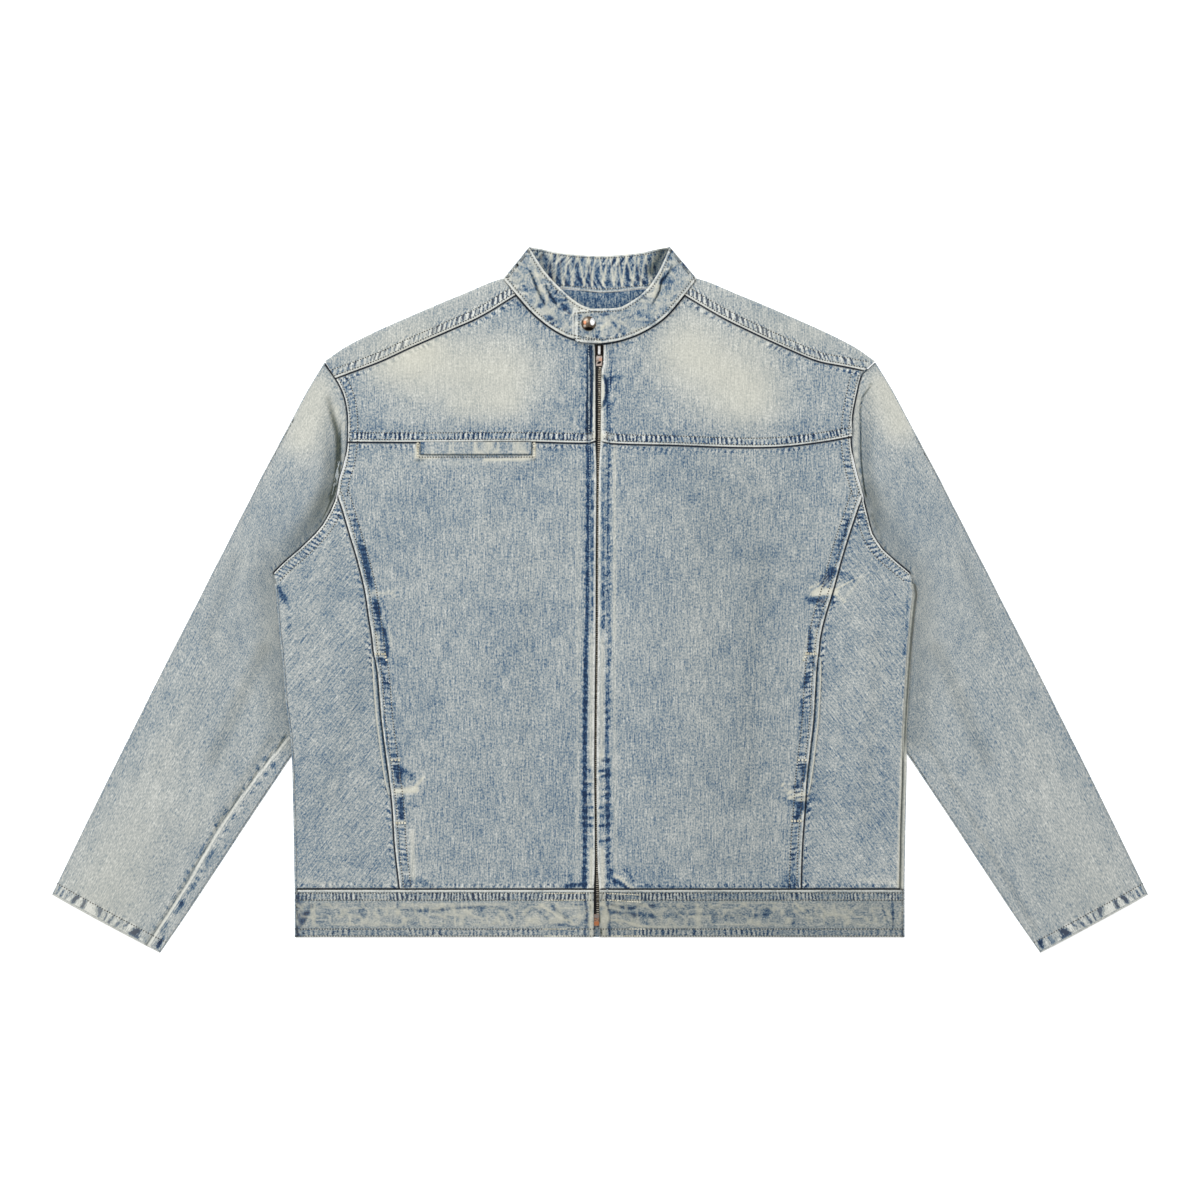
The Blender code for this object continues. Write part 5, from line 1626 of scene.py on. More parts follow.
def repeated(name: str, points: Array, edges: Array, shape: Object, pitch: float, material: Material,
             jitter: float = 0.0, seed: int = 5) -> Object:
    """Sets one shape at even steps along every run of edges, with Geometry Nodes.

    Args:
        name: of the object.
        points: of the runs, in millimetres.
        edges: pairs of points.
        shape: what is repeated; it is removed afterwards.
        pitch: spacing in millimetres.
        material: of the shapes.
        jitter: largest turn by chance, and share of the length that varies.
        seed: of the chance.

    Returns:
        One plain mesh of all the shapes.
    """
    tree = bpy.data.node_groups.new(f"{name} along seams", "GeometryNodeTree")
    values = {"Shape": shape, "Pitch": pitch * MM, "Jitter": jitter, "Seed": seed, "Material": material}
    kinds = {"Shape": "Object", "Seed": "Int", "Material": "Material"}
    tree.interface.new_socket("Geometry", in_out="INPUT", socket_type="NodeSocketGeometry")
    for label in values:
        tree.interface.new_socket(label, in_out="INPUT", socket_type=f"NodeSocket{kinds.get(label, 'Float')}")
    tree.interface.new_socket("Geometry", in_out="OUTPUT", socket_type="NodeSocketGeometry")
    g = Graph(tree)
    start, end = tree.nodes.new("NodeGroupInput"), tree.nodes.new("NodeGroupOutput")
    given = start.outputs
    curve = g.node("GeometryNodeMeshToCurve", Mesh=given["Geometry"])
    spots = g.node("GeometryNodeCurveToPoints", _mode="LENGTH", Curve=curve.outputs[0], Length=given["Pitch"])
    facing = g.node("FunctionNodeAlignRotationToVector", _axis="X", _pivot_axis="Z",
                    Vector=spots.outputs["Tangent"])
    index = g.node("GeometryNodeInputIndex").outputs[0]
    chance = g.node("FunctionNodeRandomValue", _data_type="FLOAT", ID=index, Seed=given["Seed"])
    chance.inputs["Min"].default_value, chance.inputs["Max"].default_value = -1.0, 1.0
    other = g.node("FunctionNodeRandomValue", _data_type="FLOAT", ID=index,
                   Seed=g.math("ADD", given["Seed"], 1))
    angle = g.product(chance.outputs["Value"], given["Jitter"])
    spin = g.node("FunctionNodeEulerToRotation", Euler=g.node("ShaderNodeCombineXYZ", Z=angle).outputs[0])
    turned = g.node("FunctionNodeRotateRotation", _rotation_space="LOCAL", Rotation=facing.outputs[0],
                    Rotate_By=spin.outputs[0])
    length = g.math("MULTIPLY_ADD", g.product(other.outputs["Value"], given["Jitter"]), -1.2, 1.0)
    body = g.node("GeometryNodeObjectInfo", Object=given["Shape"])
    size = g.node("ShaderNodeCombineXYZ", X=length, Y=1.0, Z=1.0)
    spread = g.node("GeometryNodeInstanceOnPoints", Points=spots.outputs["Points"],
                    Instance=body.outputs["Geometry"], Rotation=turned.outputs[0], Scale=size.outputs[0])
    real = g.node("GeometryNodeRealizeInstances", Geometry=spread.outputs[0])
    done = g.node("GeometryNodeSetMaterial", Geometry=real.outputs[0], Material=given["Material"])
    tree.links.new(done.outputs[0], end.inputs[0])
    made = add_solid(name, points, [], False, edges.tolist())
    modifier = made.modifiers.new("Repeat", "NODES")
    modifier.node_group = tree
    for item in tree.interface.items_tree:
        if item.in_out == "INPUT" and item.name in values:
            modifier[item.identifier] = values[item.name]
    made.update_tag()
    done_mesh = bpy.data.meshes.new_from_object(made.evaluated_get(bpy.context.evaluated_depsgraph_get()))
    made.modifiers.clear()
    made.data = done_mesh
    bpy.data.objects.remove(shape)
    return made


def bar(name: str, length: float, width: float, height: float, low: float = 0.0, sides: int = 6) -> Object:
    """A rounded bar along x, closed at both ends.

    Args:
        name: of the object.
        length: along x.
        width: along y.
        height: along z.
        low: height of its under side.
        sides: round it.

    Returns:
        The bar.
    """
    stops = ((-0.5, 0.35), (-0.3, 1.0), (0.3, 1.0), (0.5, 0.35))
    turn = np.arange(sides) / sides * math.tau
    rings = [np.stack([np.full(sides, length * place), width / 2 * full * np.cos(turn),
                       low + height / 2 * (1 + full * np.sin(turn))], -1) for place, full in stops]
    quads = grid_quads(len(stops), sides, wrap=True, flip=True).tolist()
    last = (len(stops) - 1) * sides
    return add_solid(name, np.vstack(rings), [*quads, range(sides), range(last, last + sides)[::-1]])


class Sewing:
    """Rows of stitches, gathered piece by piece and sewn on at the end."""

    THREADS = {Yarn.WORN: (2.7, 1.5), Yarn.PALE: (2.5, 1.4), Yarn.FRESH: (2.4, 2.2)}
    WIDTH, HEIGHT, STEP, BAR_ROWS = 1.15, 0.55, 1.2, (-0.6, 0.0, 0.6)

    def __init__(self) -> None:
        """Starts with no rows."""
        self.points: dict[Yarn, list] = {thread: [] for thread in self.THREADS}
        self.edges: dict[Yarn, list] = {thread: [] for thread in self.THREADS}
        self.trees: dict[str, BVHTree] = {}

    def drop(self, made: Object, plan: Array) -> Array:
        """Heights of a piece's upper side at points, nan beside it.

        Args:
            made: the piece.
            plan: x and y of the points.

        Returns:
            A height for each point.
        """
        if made.name not in self.trees:
            corners, faces = made.data.vertices, made.data.polygons
            self.trees[made.name] = BVHTree.FromPolygons([v.co[:] for v in corners],
                                                         [p.vertices[:] for p in faces])
        hits = [self.trees[made.name].ray_cast(Vector((x * MM, y * MM, 0.1)), Vector((0, 0, -1)))[0]
                for x, y in plan]
        return np.array([hit.z / MM if hit else np.nan for hit in hits])

    def row(self, made: Object, plan: Array, thread: Yarn = Yarn.WORN, lift: float = -0.1,
            below: float = 99.0) -> None:
        """Sews a row on a piece wherever it lies under the points, and lower than a height.

        Args:
            made: the piece.
            plan: points of the row.
            thread: it is sewn with.
            lift: of the thread over the cloth.
            below: height up to which it is sewn.
        """
        height = self.drop(made, plan)
        points, edges = self.points[thread], self.edges[thread]
        for index, (at, z) in enumerate(zip(plan, height)):
            if np.isnan(z) or z > below:
                continue
            if index and not np.isnan(height[index - 1]) and abs(z - height[index - 1]) < self.STEP:
                edges.append((len(points) - 1, len(points)))
            points.append((*at, z + lift))

    def seam(self, made: Object, seam: Seam, below: float = 99.0) -> None:
        """Sews the rows of a seam on the side of it that the piece lies.

        Args:
            made: the piece.
            seam: the seam.
            below: height up to which it is sewn.
        """
        if seam.under or not seam.thread:
            return
        for away in seam.rows:
            sides = [seam.line.beside(away), seam.line.beside(-away)]
            hits = [np.isfinite(self.drop(made, plan)).sum() for plan in sides]
            self.row(made, sides[int(np.argmax(hits))], seam.thread, below=below)

    def bartack(self, made: Object, start: tuple, end: tuple) -> None:
        """A short bar of fresh thread."""
        line = Line([start, end])
        for away in self.BAR_ROWS:
            self.row(made, line.beside(away, 1.0), Yarn.FRESH, 0.3)

    def finish(self, finishes: Finishes) -> None:
        """Sews every row.

        Args:
            finishes: for the thread.
        """
        for thread, (pitch, length) in self.THREADS.items():
            shape = bar("stitch", length, self.WIDTH, self.HEIGHT)
            made = repeated(f"stitches_{thread.value}", np.array(self.points[thread]),
                            np.array(self.edges[thread]), shape, pitch, finishes.threads[thread], jitter=0.14)
            Piece.register(made, "denim_trim", [])


# ---------------------------------------------------------------- the jacket

FINE, COARSE, HIDDEN = 1.35, 2.6, 7.0
TURNS = (60.0, 30.0, 0.0, -30.0, -60.0)
ABOVE, BELOW = 90.0, -90.0


@dataclass
class Piece:
    """What the pieces share: the finishes, the sewing, attaching and logging."""

    finishes: Finishes
    sewing: Sewing

    def sew(self, made: Object, seams: Sequence[Seam]) -> None:
        """Sews the rows of several seams."""
        for seam in seams:
            self.sewing.seam(made, seam)

    @staticmethod
    def register(made: Object, slot: str, nodes: Sequence[str], flat: tuple | None = None, held: str = "laid",
                 rests_on: Sequence[str] = (), area: float | None = None, with_pieces: Sequence = ()) -> None:
        """Puts a piece on its body, hides the nodes it stands for and logs its faces.

        Args:
            made: the piece.
            slot: material slot of the record; not used.
            nodes: CAD nodes that it stands for.
            flat: width and length of the cut, in metres; not used.
            held: how the sheet is held; not used.
            rests_on: what it lies on; not used.
            area: of the cut, in square metres; not used.
            with_pieces: pieces sewn on it; not used.
        """
        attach(made, "jacket")
        if nodes:
            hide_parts(*nodes)
        LOG.info("%s: %d faces", made.name, len(made.data.polygons))


def raised(plan: Array, height: Array) -> Array:
    """Points at a height."""
    return np.concatenate([plan, height[..., None]], -1)


def panel(plan: Array, height: Callable, wall: float = WALL, rise: Array | float = 0.0) -> Surface:
    """A single layer on its height, with soft rises.

    Args:
        plan: x and y of the grid.
        height: under face at x and y.
        wall: thickness.
        rise: how far the cloth stands off what it lies on.
    """
    base = height(plan[..., 0], plan[..., 1]) + rise
    return Surface(raised(plan, base + wall), raised(plan, base), plan)


@dataclass
class Front(Piece):
    """Yoke, centre front, side front and pocket facing of one side.

    Args:
        side: of the jacket.
        welt_low: lower edge of the chest welt.
        welt_top: its upper edge.
        frame: how far the dark frame round the welt stands off it.
        facing_columns: points across the pocket facing.
        arm_seam: y from which the armhole is sewn on the centre front.
        grain_turn: slant of the warp of the side front, in degrees.
    """

    side: Side
    welt_low: float = 144.9
    welt_top: float = 158.0
    frame: float = 2.2
    facing_columns: int = 6
    arm_seam: float = 104.0
    grain_turn: float = 38.0

    def __post_init__(self) -> None:
        """Sets out the seam lines of this side."""
        side, self.sign = self.side, SIDES[self.side]
        self.front_seam = Line(upright(FRONT_SEAM, side))
        above = [point for point in upright(ARMHOLE, side) if point[1] > SIDE_FRONT_TOP_Y]
        self.outer_edge = Line(above + upright(FRONT_SEAM, side))
        self.armhole = Line(upright(ARMHOLE, side))
        self.yoke_seam = Line(level(YOKE_SEAM, side))
        self.zip_line = Line(zip_edge(side, ZIP_TOP_Y, BAND_SEAM_Y))
        self.shoulder = Line(level(SHOULDER_SEAM, side))
        self.band_line = Line([(self.sign * 2, BAND_SEAM_Y), (self.sign * 306, BAND_SEAM_Y)])
        self.under_band = Seam(self.band_line, under=True, pitch=6.0, strength=steady(0.5), slant=0.2,
                               seed=15)
        self.groove = 6.4 if side is Side.RIGHT else 8.0
        self.marks = (*BODY_MARKS, *flap_marks(side))
        self.neck = Line(COLLAR_SEAM[f"front_{side}"])

    def build(self) -> None:
        """Makes every piece of this front."""
        self.build_yoke()
        self.build_centre()
        self.build_side()

    def make(self, cloth: Surface, name: str, first: Sequence[Seam], second: Sequence[Seam]) -> Object:
        """Puckers, washes, builds and sews one cloth piece.

        Args:
            cloth: its surface.
            name: of its node, without the side.
            first: seams of channel a.
            second: seams of channel b.

        Returns:
            The piece.
        """
        cloth.face.pucker("a", first)
        cloth.face.pucker("b", second)
        cloth.dress(self.marks)
        made = cloth_built(cloth, f"{name}_{self.side}_cloth", self.finishes.body)
        self.sew(made, [*first, *second])
        return made

    def build_yoke(self) -> None:
        """Front yoke."""
        side, sign = self.side, self.sign
        seam = level(YOKE_SEAM[1:], side)
        zip_side = zip_edge(side, ZIP_TOP_Y, float(read(YOKE_SEAM, YOKE_SEAM[0].at, side)))
        low = seam[-1][1] + STATION_CLEAR
        arm = [point for point in upright(ARMHOLE, side)[::-1] if low < point[1] < YOKE_ARM_TOP]
        arm = [seam[-1], *arm, (sign * float(read(ARMHOLE, YOKE_ARM_TOP, side)), YOKE_ARM_TOP)]
        shoulder = level(SHOULDER_SEAM, side, YOKE_TUCK)[-2::-1]
        top = Line([arm[-1], *shoulder, *((sign * x, y) for x, y in YOKE_NECK), zip_side[0]], smooth=False)
        across = spaced(top.length * 0.92, FINE, COARSE, 16, 18)
        up = spaced(120, FINE, COARSE, 16, 0)
        plan = patch(Line(seam[::-1] + zip_side[-1:]), top, Line(arm), Line(zip_side[::-1]), across, up)
        edges = clearance(plan, self.armhole, self.yoke_seam, self.zip_line, self.shoulder)
        cloth = panel(plan, yoke_height, rise=undulate(plan, 11 + int(sign), 2.2, 38.0, edges))
        arm_strength = varying((0, 0.3), (60, 0.34), (80, 0.5))
        yoke_strength = varying((0, 1.2), (60, 0.8), (110, 1.0), (180, 0.8), (250, 0.9))
        made = self.make(
            cloth, "front_yoke",
            [Seam(self.zip_line, (self.groove,), 8.0, steady(0.25), 0.4, 20, thread=Yarn.PALE, rim=2.8,
                  seed=3),
             Seam(self.armhole, (1.9, 9.4), 4.2, arm_strength, 0.8, 16, lean=0.3, seed=4)],
            [Seam(self.yoke_seam, (2.2, 8.8), 4.3, yoke_strength, 0.45, 16, lean=0.1, seed=5),
             Seam(self.shoulder, under=True, pitch=7.0, strength=steady(0.6), seed=6),
             Seam(self.neck, under=True, pitch=8.0, strength=steady(0.3), seed=7)])
        self.register(made, "denim_body", [f"front_yoke_{side}"], (0.265, 0.152), rests_on=["back_panel"],
                      area=0.034)

    def build_centre(self) -> None:
        """Centre front."""
        side, sign = self.side, self.sign
        seam = level(YOKE_SEAM[1:], side, LAP)
        zip_side = zip_edge(side, seam[0][1], BAND_SEAM_Y + GAP)
        top_y = seam[-1][1]
        outer = [(sign * float(read(ARMHOLE, top_y, side)), top_y)]
        outer += [point for point in upright(ARMHOLE, side)
                  if SIDE_FRONT_TOP_Y < point[1] < top_y - STATION_CLEAR]
        outer += upright(FRONT_SEAM[:-1], side)
        outer.append((sign * float(read(FRONT_SEAM, BAND_SEAM_Y + GAP, side)), BAND_SEAM_Y + GAP))
        top = Line([outer[0], *seam[-2::-1], zip_side[0]])
        across, up = spaced(235, FINE, COARSE, 18, 20), spaced(455, 1.8, COARSE, 14, 26)
        plan = patch(Line([outer[-1], zip_side[-1]]), top, Line(outer[::-1]), Line(zip_side[::-1]), across,
                     up)
        edges = clearance(plan, self.outer_edge, self.yoke_seam, self.zip_line, self.band_line)
        rise = undulate(plan, 21 + int(sign), 2.4, 46.0, edges)
        cloth = panel(plan, lambda x, y: front_height(x, y) + PLY, rise=rise)
        arm = Line([point for point in outer if point[1] > self.arm_seam])
        strength = varying((0, 0.35), (50, 0.5), (80, 0.4), (150, 0.4), (330, 0.5), (400, 0.4))
        made = self.make(
            cloth, "front_centre",
            [Seam(arm, (1.9, 9.4), 4.2, steady(0.6), 0.8, 16, lean=0.3, seed=16),
             Seam(self.front_seam, (3.8, 11.2), 4.8, strength, 0.5, 22, lean=-0.3, seed=13),
             Seam(self.zip_line, (self.groove,), 8.0, steady(0.25), 0.4, 24, thread=Yarn.PALE, rim=2.2,
                  seed=14)],
            [Seam(self.yoke_seam, under=True, pitch=5.2, strength=steady(0.45), seed=5), self.under_band])
        sewn_on = [self.build_welt(made)] if side is Side.RIGHT else []
        for start, end in BARTACKS[side]:
            self.sewing.bartack(made, start, end)
        self.register(made, "denim_body", [f"front_centre_{side}"], (0.262, 0.464), rests_on=["back_panel"],
                      area=0.106, with_pieces=sewn_on)

    def build_welt(self, front: Object) -> Object:
        """Welt of the chest pocket, its frame and its bars.

        Args:
            front: piece that its frame and bars are sewn on.

        Returns:
            The welt.
        """
        (start, end), low, top = WELT_X, self.welt_low, self.welt_top
        across, up = spaced(end - start, 1.2, 1.2), spaced(top - low, 1.0, 1.0)
        plan = patch(Line([(start, low), (end, low)]), Line([(start, top), (end, top)]),
                     Line([(start, low), (start, top)]), Line([(end, low), (end, top)]), across, up)
        cloth = panel(plan, lambda x, y: front_height(x, y) + 3.0)
        edge = np.minimum(plan[..., 1] - low, np.minimum(plan[..., 0] - start, end - plan[..., 0]))
        cloth.face.points[..., 2] -= 0.5 * np.clip(1 - edge / 1.2, 0, 1) ** 2
        cloth.face.crumple(ease(edge / 2.0), 5.0, 26.0, 0.3, 0.8, 0.75, 71)
        # Painted shadow along the welt's edges.
        cloth.face.wash[..., 2] += 1.0 * ease((1.3 - edge) / 0.7)
        cloth.face.wash[..., 1] += 0.2 * ease(2.4 - edge)
        made = cloth_built(cloth, "chest_welt_cloth", self.finishes.trim)
        self.register(made, "denim_trim", ["chest_welt"])
        left, right, foot = start - self.frame, end + self.frame, low - 2.4
        frame = Line([(left, top), (left, foot), (right, foot), (right, top)], smooth=False)
        self.sewing.row(front, frame.beside(0.4), Yarn.WORN, 0.1)
        for x in (left, right):
            self.sewing.bartack(front, (x, low - 0.5), (x, top - 1.5))
        return made

    def build_side(self) -> None:
        """Side front, its inner edge under the centre front."""
        side, sign = self.side, self.sign
        stops = np.arange(BAND_SEAM_Y + GAP, 27.0, 8.0)
        outer = []
        for y in [*stops, 27.0]:
            edge = float(read(SIDE_FOLD, y, side))
            bend = (float(front_height(edge, y)) + WALL - float(back_height(edge, y))) / 2.0
            inset = bend + SIDE_RETURN[side] + GAP if y <= WRAP_TOP else SEAM_CLEAR
            outer.append((sign * (edge - inset), y))
        top = SIDE_FRONT_TOP_Y - STATION_CLEAR
        outer += [point for point in upright(ARMHOLE, side)[::-1] if 27.5 < point[1] < top]
        outer.append((sign * (float(read(ARMHOLE, SIDE_FRONT_TOP_Y, side)) - SEAM_CLEAR), SIDE_FRONT_TOP_Y))
        inner = [(sign * (float(read(FRONT_SEAM, y, side)) - LAP), y)
                 for y in np.linspace(BAND_SEAM_Y + GAP, SIDE_FRONT_TOP_Y, 30)]
        across, up = spaced(105, FINE, 2.2, 14, 16), spaced(420, 1.9, 2.4, 14, 150)
        outer_line = Line(outer, smooth=False)
        plan = patch(Line([outer[0], inner[0]]), Line([outer[-1], inner[-1]]), outer_line, Line(inner),
                     across, up)
        edges = clearance(plan, self.front_seam, outer_line, self.band_line)
        cloth = panel(plan, front_height, rise=undulate(plan, 31 + int(sign), 1.8, 34.0, edges - 8))
        turn = math.radians(self.grain_turn) * sign
        cloth.flat = plan @ np.array([[math.cos(turn), -math.sin(turn)], [math.sin(turn), math.cos(turn)]])
        arm = Line([point for point in upright(ARMHOLE, side) if point[1] < SIDE_FRONT_TOP_Y])
        made = self.make(
            cloth, "side_front",
            [Seam(self.front_seam, under=True, pitch=7.0, strength=steady(0.6), slant=0.5, seed=13)],
            [Seam(arm, (1.8, 9.8), 4.2, steady(0.5), 0.8, 16, lean=0.3, seed=23), self.under_band])
        self.register(made, "denim_body", [f"side_front_{side}"], (0.136, 0.398), rests_on=["back_panel"],
                      area=0.039, with_pieces=[self.build_facing()])

    def build_facing(self) -> Object:
        """Facing that shows along the pocket opening.

        Returns:
            The facing.
        """
        ys = np.arange(FACING_Y[0], FACING_Y[1] - 0.1, -2.0)
        edge = read(FRONT_SEAM, ys, self.side)
        bow = np.clip(1 - np.abs(np.linspace(-1, 1, len(ys))) ** 6, 0, 1)
        count = self.facing_columns
        offsets = np.linspace(0.6, 0.6 + FACING_WIDTH, count)
        x = self.sign * (edge[:, None] + offsets[None, :] * (0.5 + 0.5 * bow[:, None]))
        plan = np.stack([x, np.repeat(ys[:, None], count, 1)], -1)
        cloth = panel(plan, lambda x, y: front_height(x, y) + PLY)
        share = every_row(ys, np.linspace(0, 1, count))
        cloth.face.wash[..., 0] += 0.9 * ease((share - 0.55) / 0.3)
        # Painted shade on the half by the centre front's edge.
        cloth.face.wash[..., 2] += 0.9 * ease((0.45 - share) / 0.4)
        cloth.face.wash[..., 1] += 0.7 * ease((0.5 - share) / 0.4)
        made = cloth_built(cloth, f"pocket_facing_{self.side}_cloth", self.finishes.trim)
        self.register(made, "denim_trim", [f"pocket_facing_{self.side}"])
        return made


def cloth_built(cloth: Surface, name: str, material: Material) -> Object:
    """Builds a surface with its faces outwards.

    Args:
        cloth: the surface.
        name: of the object.
        material: its finish.

    Returns:
        The piece.
    """
    across, up = ((cloth.outer[at] - cloth.outer[0, 0])[:2] for at in ((0, 1), (1, 0)))
    cloth.flip = bool(np.cross(across, up) < 0)
    return cloth.build(name, material)


@dataclass
class Back(Piece):
    """The back on the surface, and its wraps round both sides."""

    def build(self) -> None:
        """Makes the back and both wraps."""
        sides = {}
        for side, sign in SIDES.items():
            low = [(self.fold(side, y)[0], y) for y in np.arange(BAND_SEAM_Y + GAP, WRAP_TOP + 0.5, 8.0)]
            arm = [point for point in upright(ARMHOLE, side)[::-1] if 30 < point[1] < 222]
            back_edge = Line(level(SHOULDER_FOLD, side))(1.0) - np.array([sign * 3.0, SHOULDER_RETURN])
            sides[side] = Line(low + arm + [tuple(back_edge)], smooth=False)
        collar = Line(COLLAR_SEAM["back"])(np.linspace(0, 1, 11))[1:-1] - np.array([0.0, GAP])
        top = []
        for side in SIDES:
            shares = np.linspace(0, 1, 9) if side is Side.LEFT else np.linspace(1, 0, 9)
            fold = Line(level(SHOULDER_FOLD, side))(shares) - np.array([0.0, SHOULDER_RETURN])
            top += [*(collar if side is Side.LEFT else ()), *fold]
        right, left = sides.values()
        top[0], top[-1] = right(1.0), left(1.0)
        across, up = spaced(600, 2.5, HIDDEN, 0, 0), spaced(560, 2.5, HIDDEN, 0, 60)
        plan = patch(Line([right(0.0), left(0.0)]), Line(top, smooth=False), right, left, across, up)
        cloth = panel(plan, back_height)
        cloth.dress((Mark(((-60, 300), (60, 300)), 40, indigo=0.5, soft=0.6),))
        made = cloth_built(cloth, "back_panel_cloth", self.finishes.back)
        wraps = [self.build_wrap(side) for side in SIDES]
        self.register(made, "denim_back", ["back_panel"], (0.651, 0.602), rests_on=["floor"],
                      with_pieces=wraps)

    @staticmethod
    def fold(side: Side, y: float) -> tuple[float, float]:
        """Centre of the side's fold at y, and its radius.

        Args:
            side: of the jacket.
            y: in millimetres.

        Returns:
            x of the centre, and the radius.
        """
        edge = SIDES[side] * float(read(SIDE_FOLD, y, side))
        bend = (float(front_height(edge, y)) + WALL - float(back_height(edge, y))) / 2.0
        return edge - SIDES[side] * bend, bend

    def build_wrap(self, side: Side) -> Object:
        """The back's edge, round the side fold to the side seam.

        Args:
            side: of the jacket.

        Returns:
            The wrap.
        """
        sign = SIDES[side]
        ys = np.arange(BAND_SEAM_Y + GAP, WRAP_TOP + 1.0, 2.0)
        turns = np.array([0, 20, 40, 60, 80, 100, 120, 140, 160, 180, 181.0])
        line, bend = np.array([self.fold(side, y) for y in ys]).T
        angle = np.radians(np.minimum(turns, 180))[None, :]
        over = np.where(turns > 180, SIDE_RETURN[side], 0.0)[None, :]
        bottom = back_height(line + sign * bend, ys)[:, None]

        def layer(depth: float) -> Array:
            """Points of one face.

            Args:
                depth: under the outer face.

            Returns:
                Rows by columns by 3.
            """
            x = line[:, None] + sign * ((bend[:, None] - depth) * np.sin(angle) - over)
            z = bottom + bend[:, None] - (bend[:, None] - depth) * np.cos(angle)
            return np.stack([x, np.broadcast_to(ys[:, None], x.shape), z], -1)

        outer, inner = layer(0.0), layer(WALL)
        cloth = Surface(outer, inner, outer[..., :2], flip=sign < 0)
        cloth.dress(BODY_MARKS)
        made = cloth.build(f"side_wrap_{side}", self.finishes.back)
        self.register(made, "denim_back", [])
        return made


@dataclass
class Shoulder(Piece):
    """Strip over the shoulder fold of one side.

    Args:
        columns: points across its upper face.
    """

    columns: int = 15

    def build(self, side: Side) -> None:
        """Makes the strip.

        Args:
            side: of the jacket.
        """
        seam, fold = Line(level(SHOULDER_SEAM, side)), Line(level(SHOULDER_FOLD, side))
        radius = (FRONT_BASE + PLY + WALL) / 2.0
        rows = spaced(200, 1.4, 2.2, 20, 20)
        start, end = seam(rows)[:, None], fold(rows)[:, None]
        beyond = np.array([-SIDES[side] * 0.45, 0.8]) * -1.0 * ease((rows - 0.9) / 0.1)[:, None, None]
        start, end = start + beyond * 0.6, end + beyond * 1.7
        inward = (start - end) / np.linalg.norm(start - end, axis=-1, keepdims=True)
        span = np.linspace(0, 1, self.columns)[None, :, None]
        center = end + inward * radius
        top = start * (1 - span) + center * span
        lean = np.radians([60, 30, 0, -30, -60, -90])
        parts = {0.0: [], WALL: []}
        for depth in parts:
            bend = radius - depth
            upper = raised(top, np.full(top.shape[:2], radius + bend))
            turn = center - inward * bend * np.cos(lean)[None, :, None]
            turned = raised(turn, np.broadcast_to(radius + bend * np.sin(lean), turn.shape[:2]))
            under = center + inward * np.linspace(2, SHOULDER_RETURN - radius, 3)[None, :, None]
            lower = raised(under, np.full(under.shape[:2], radius - bend))
            parts[depth] = np.concatenate([upper, turned, lower], 1)
        cloth = Surface(parts[0.0], parts[WALL], parts[0.0][..., :2], flip=SIDES[side] > 0)
        cover = (np.arange(parts[0.0].shape[1]) < self.columns).astype(float)[None, :]
        strength = varying((0, 1.2), (60, 1.2), (120, 1.4), (200, 1.4))
        seams = [Seam(seam, (2.0, 8.4), 5.6, strength, 0.9, 18, lean=0.7, seed=33)]
        cloth.face.pucker("b", seams, cover)
        cloth.dress(BODY_MARKS, fade=0.25, only=cover * 0.4)
        made = cloth.build(f"shoulder_strip_{side}_cloth", self.finishes.body)
        self.sew(made, seams)
        self.register(made, "denim_body", [f"shoulder_strip_{side}"], (0.2, 0.046), held="folded",
                      rests_on=["back_panel"])


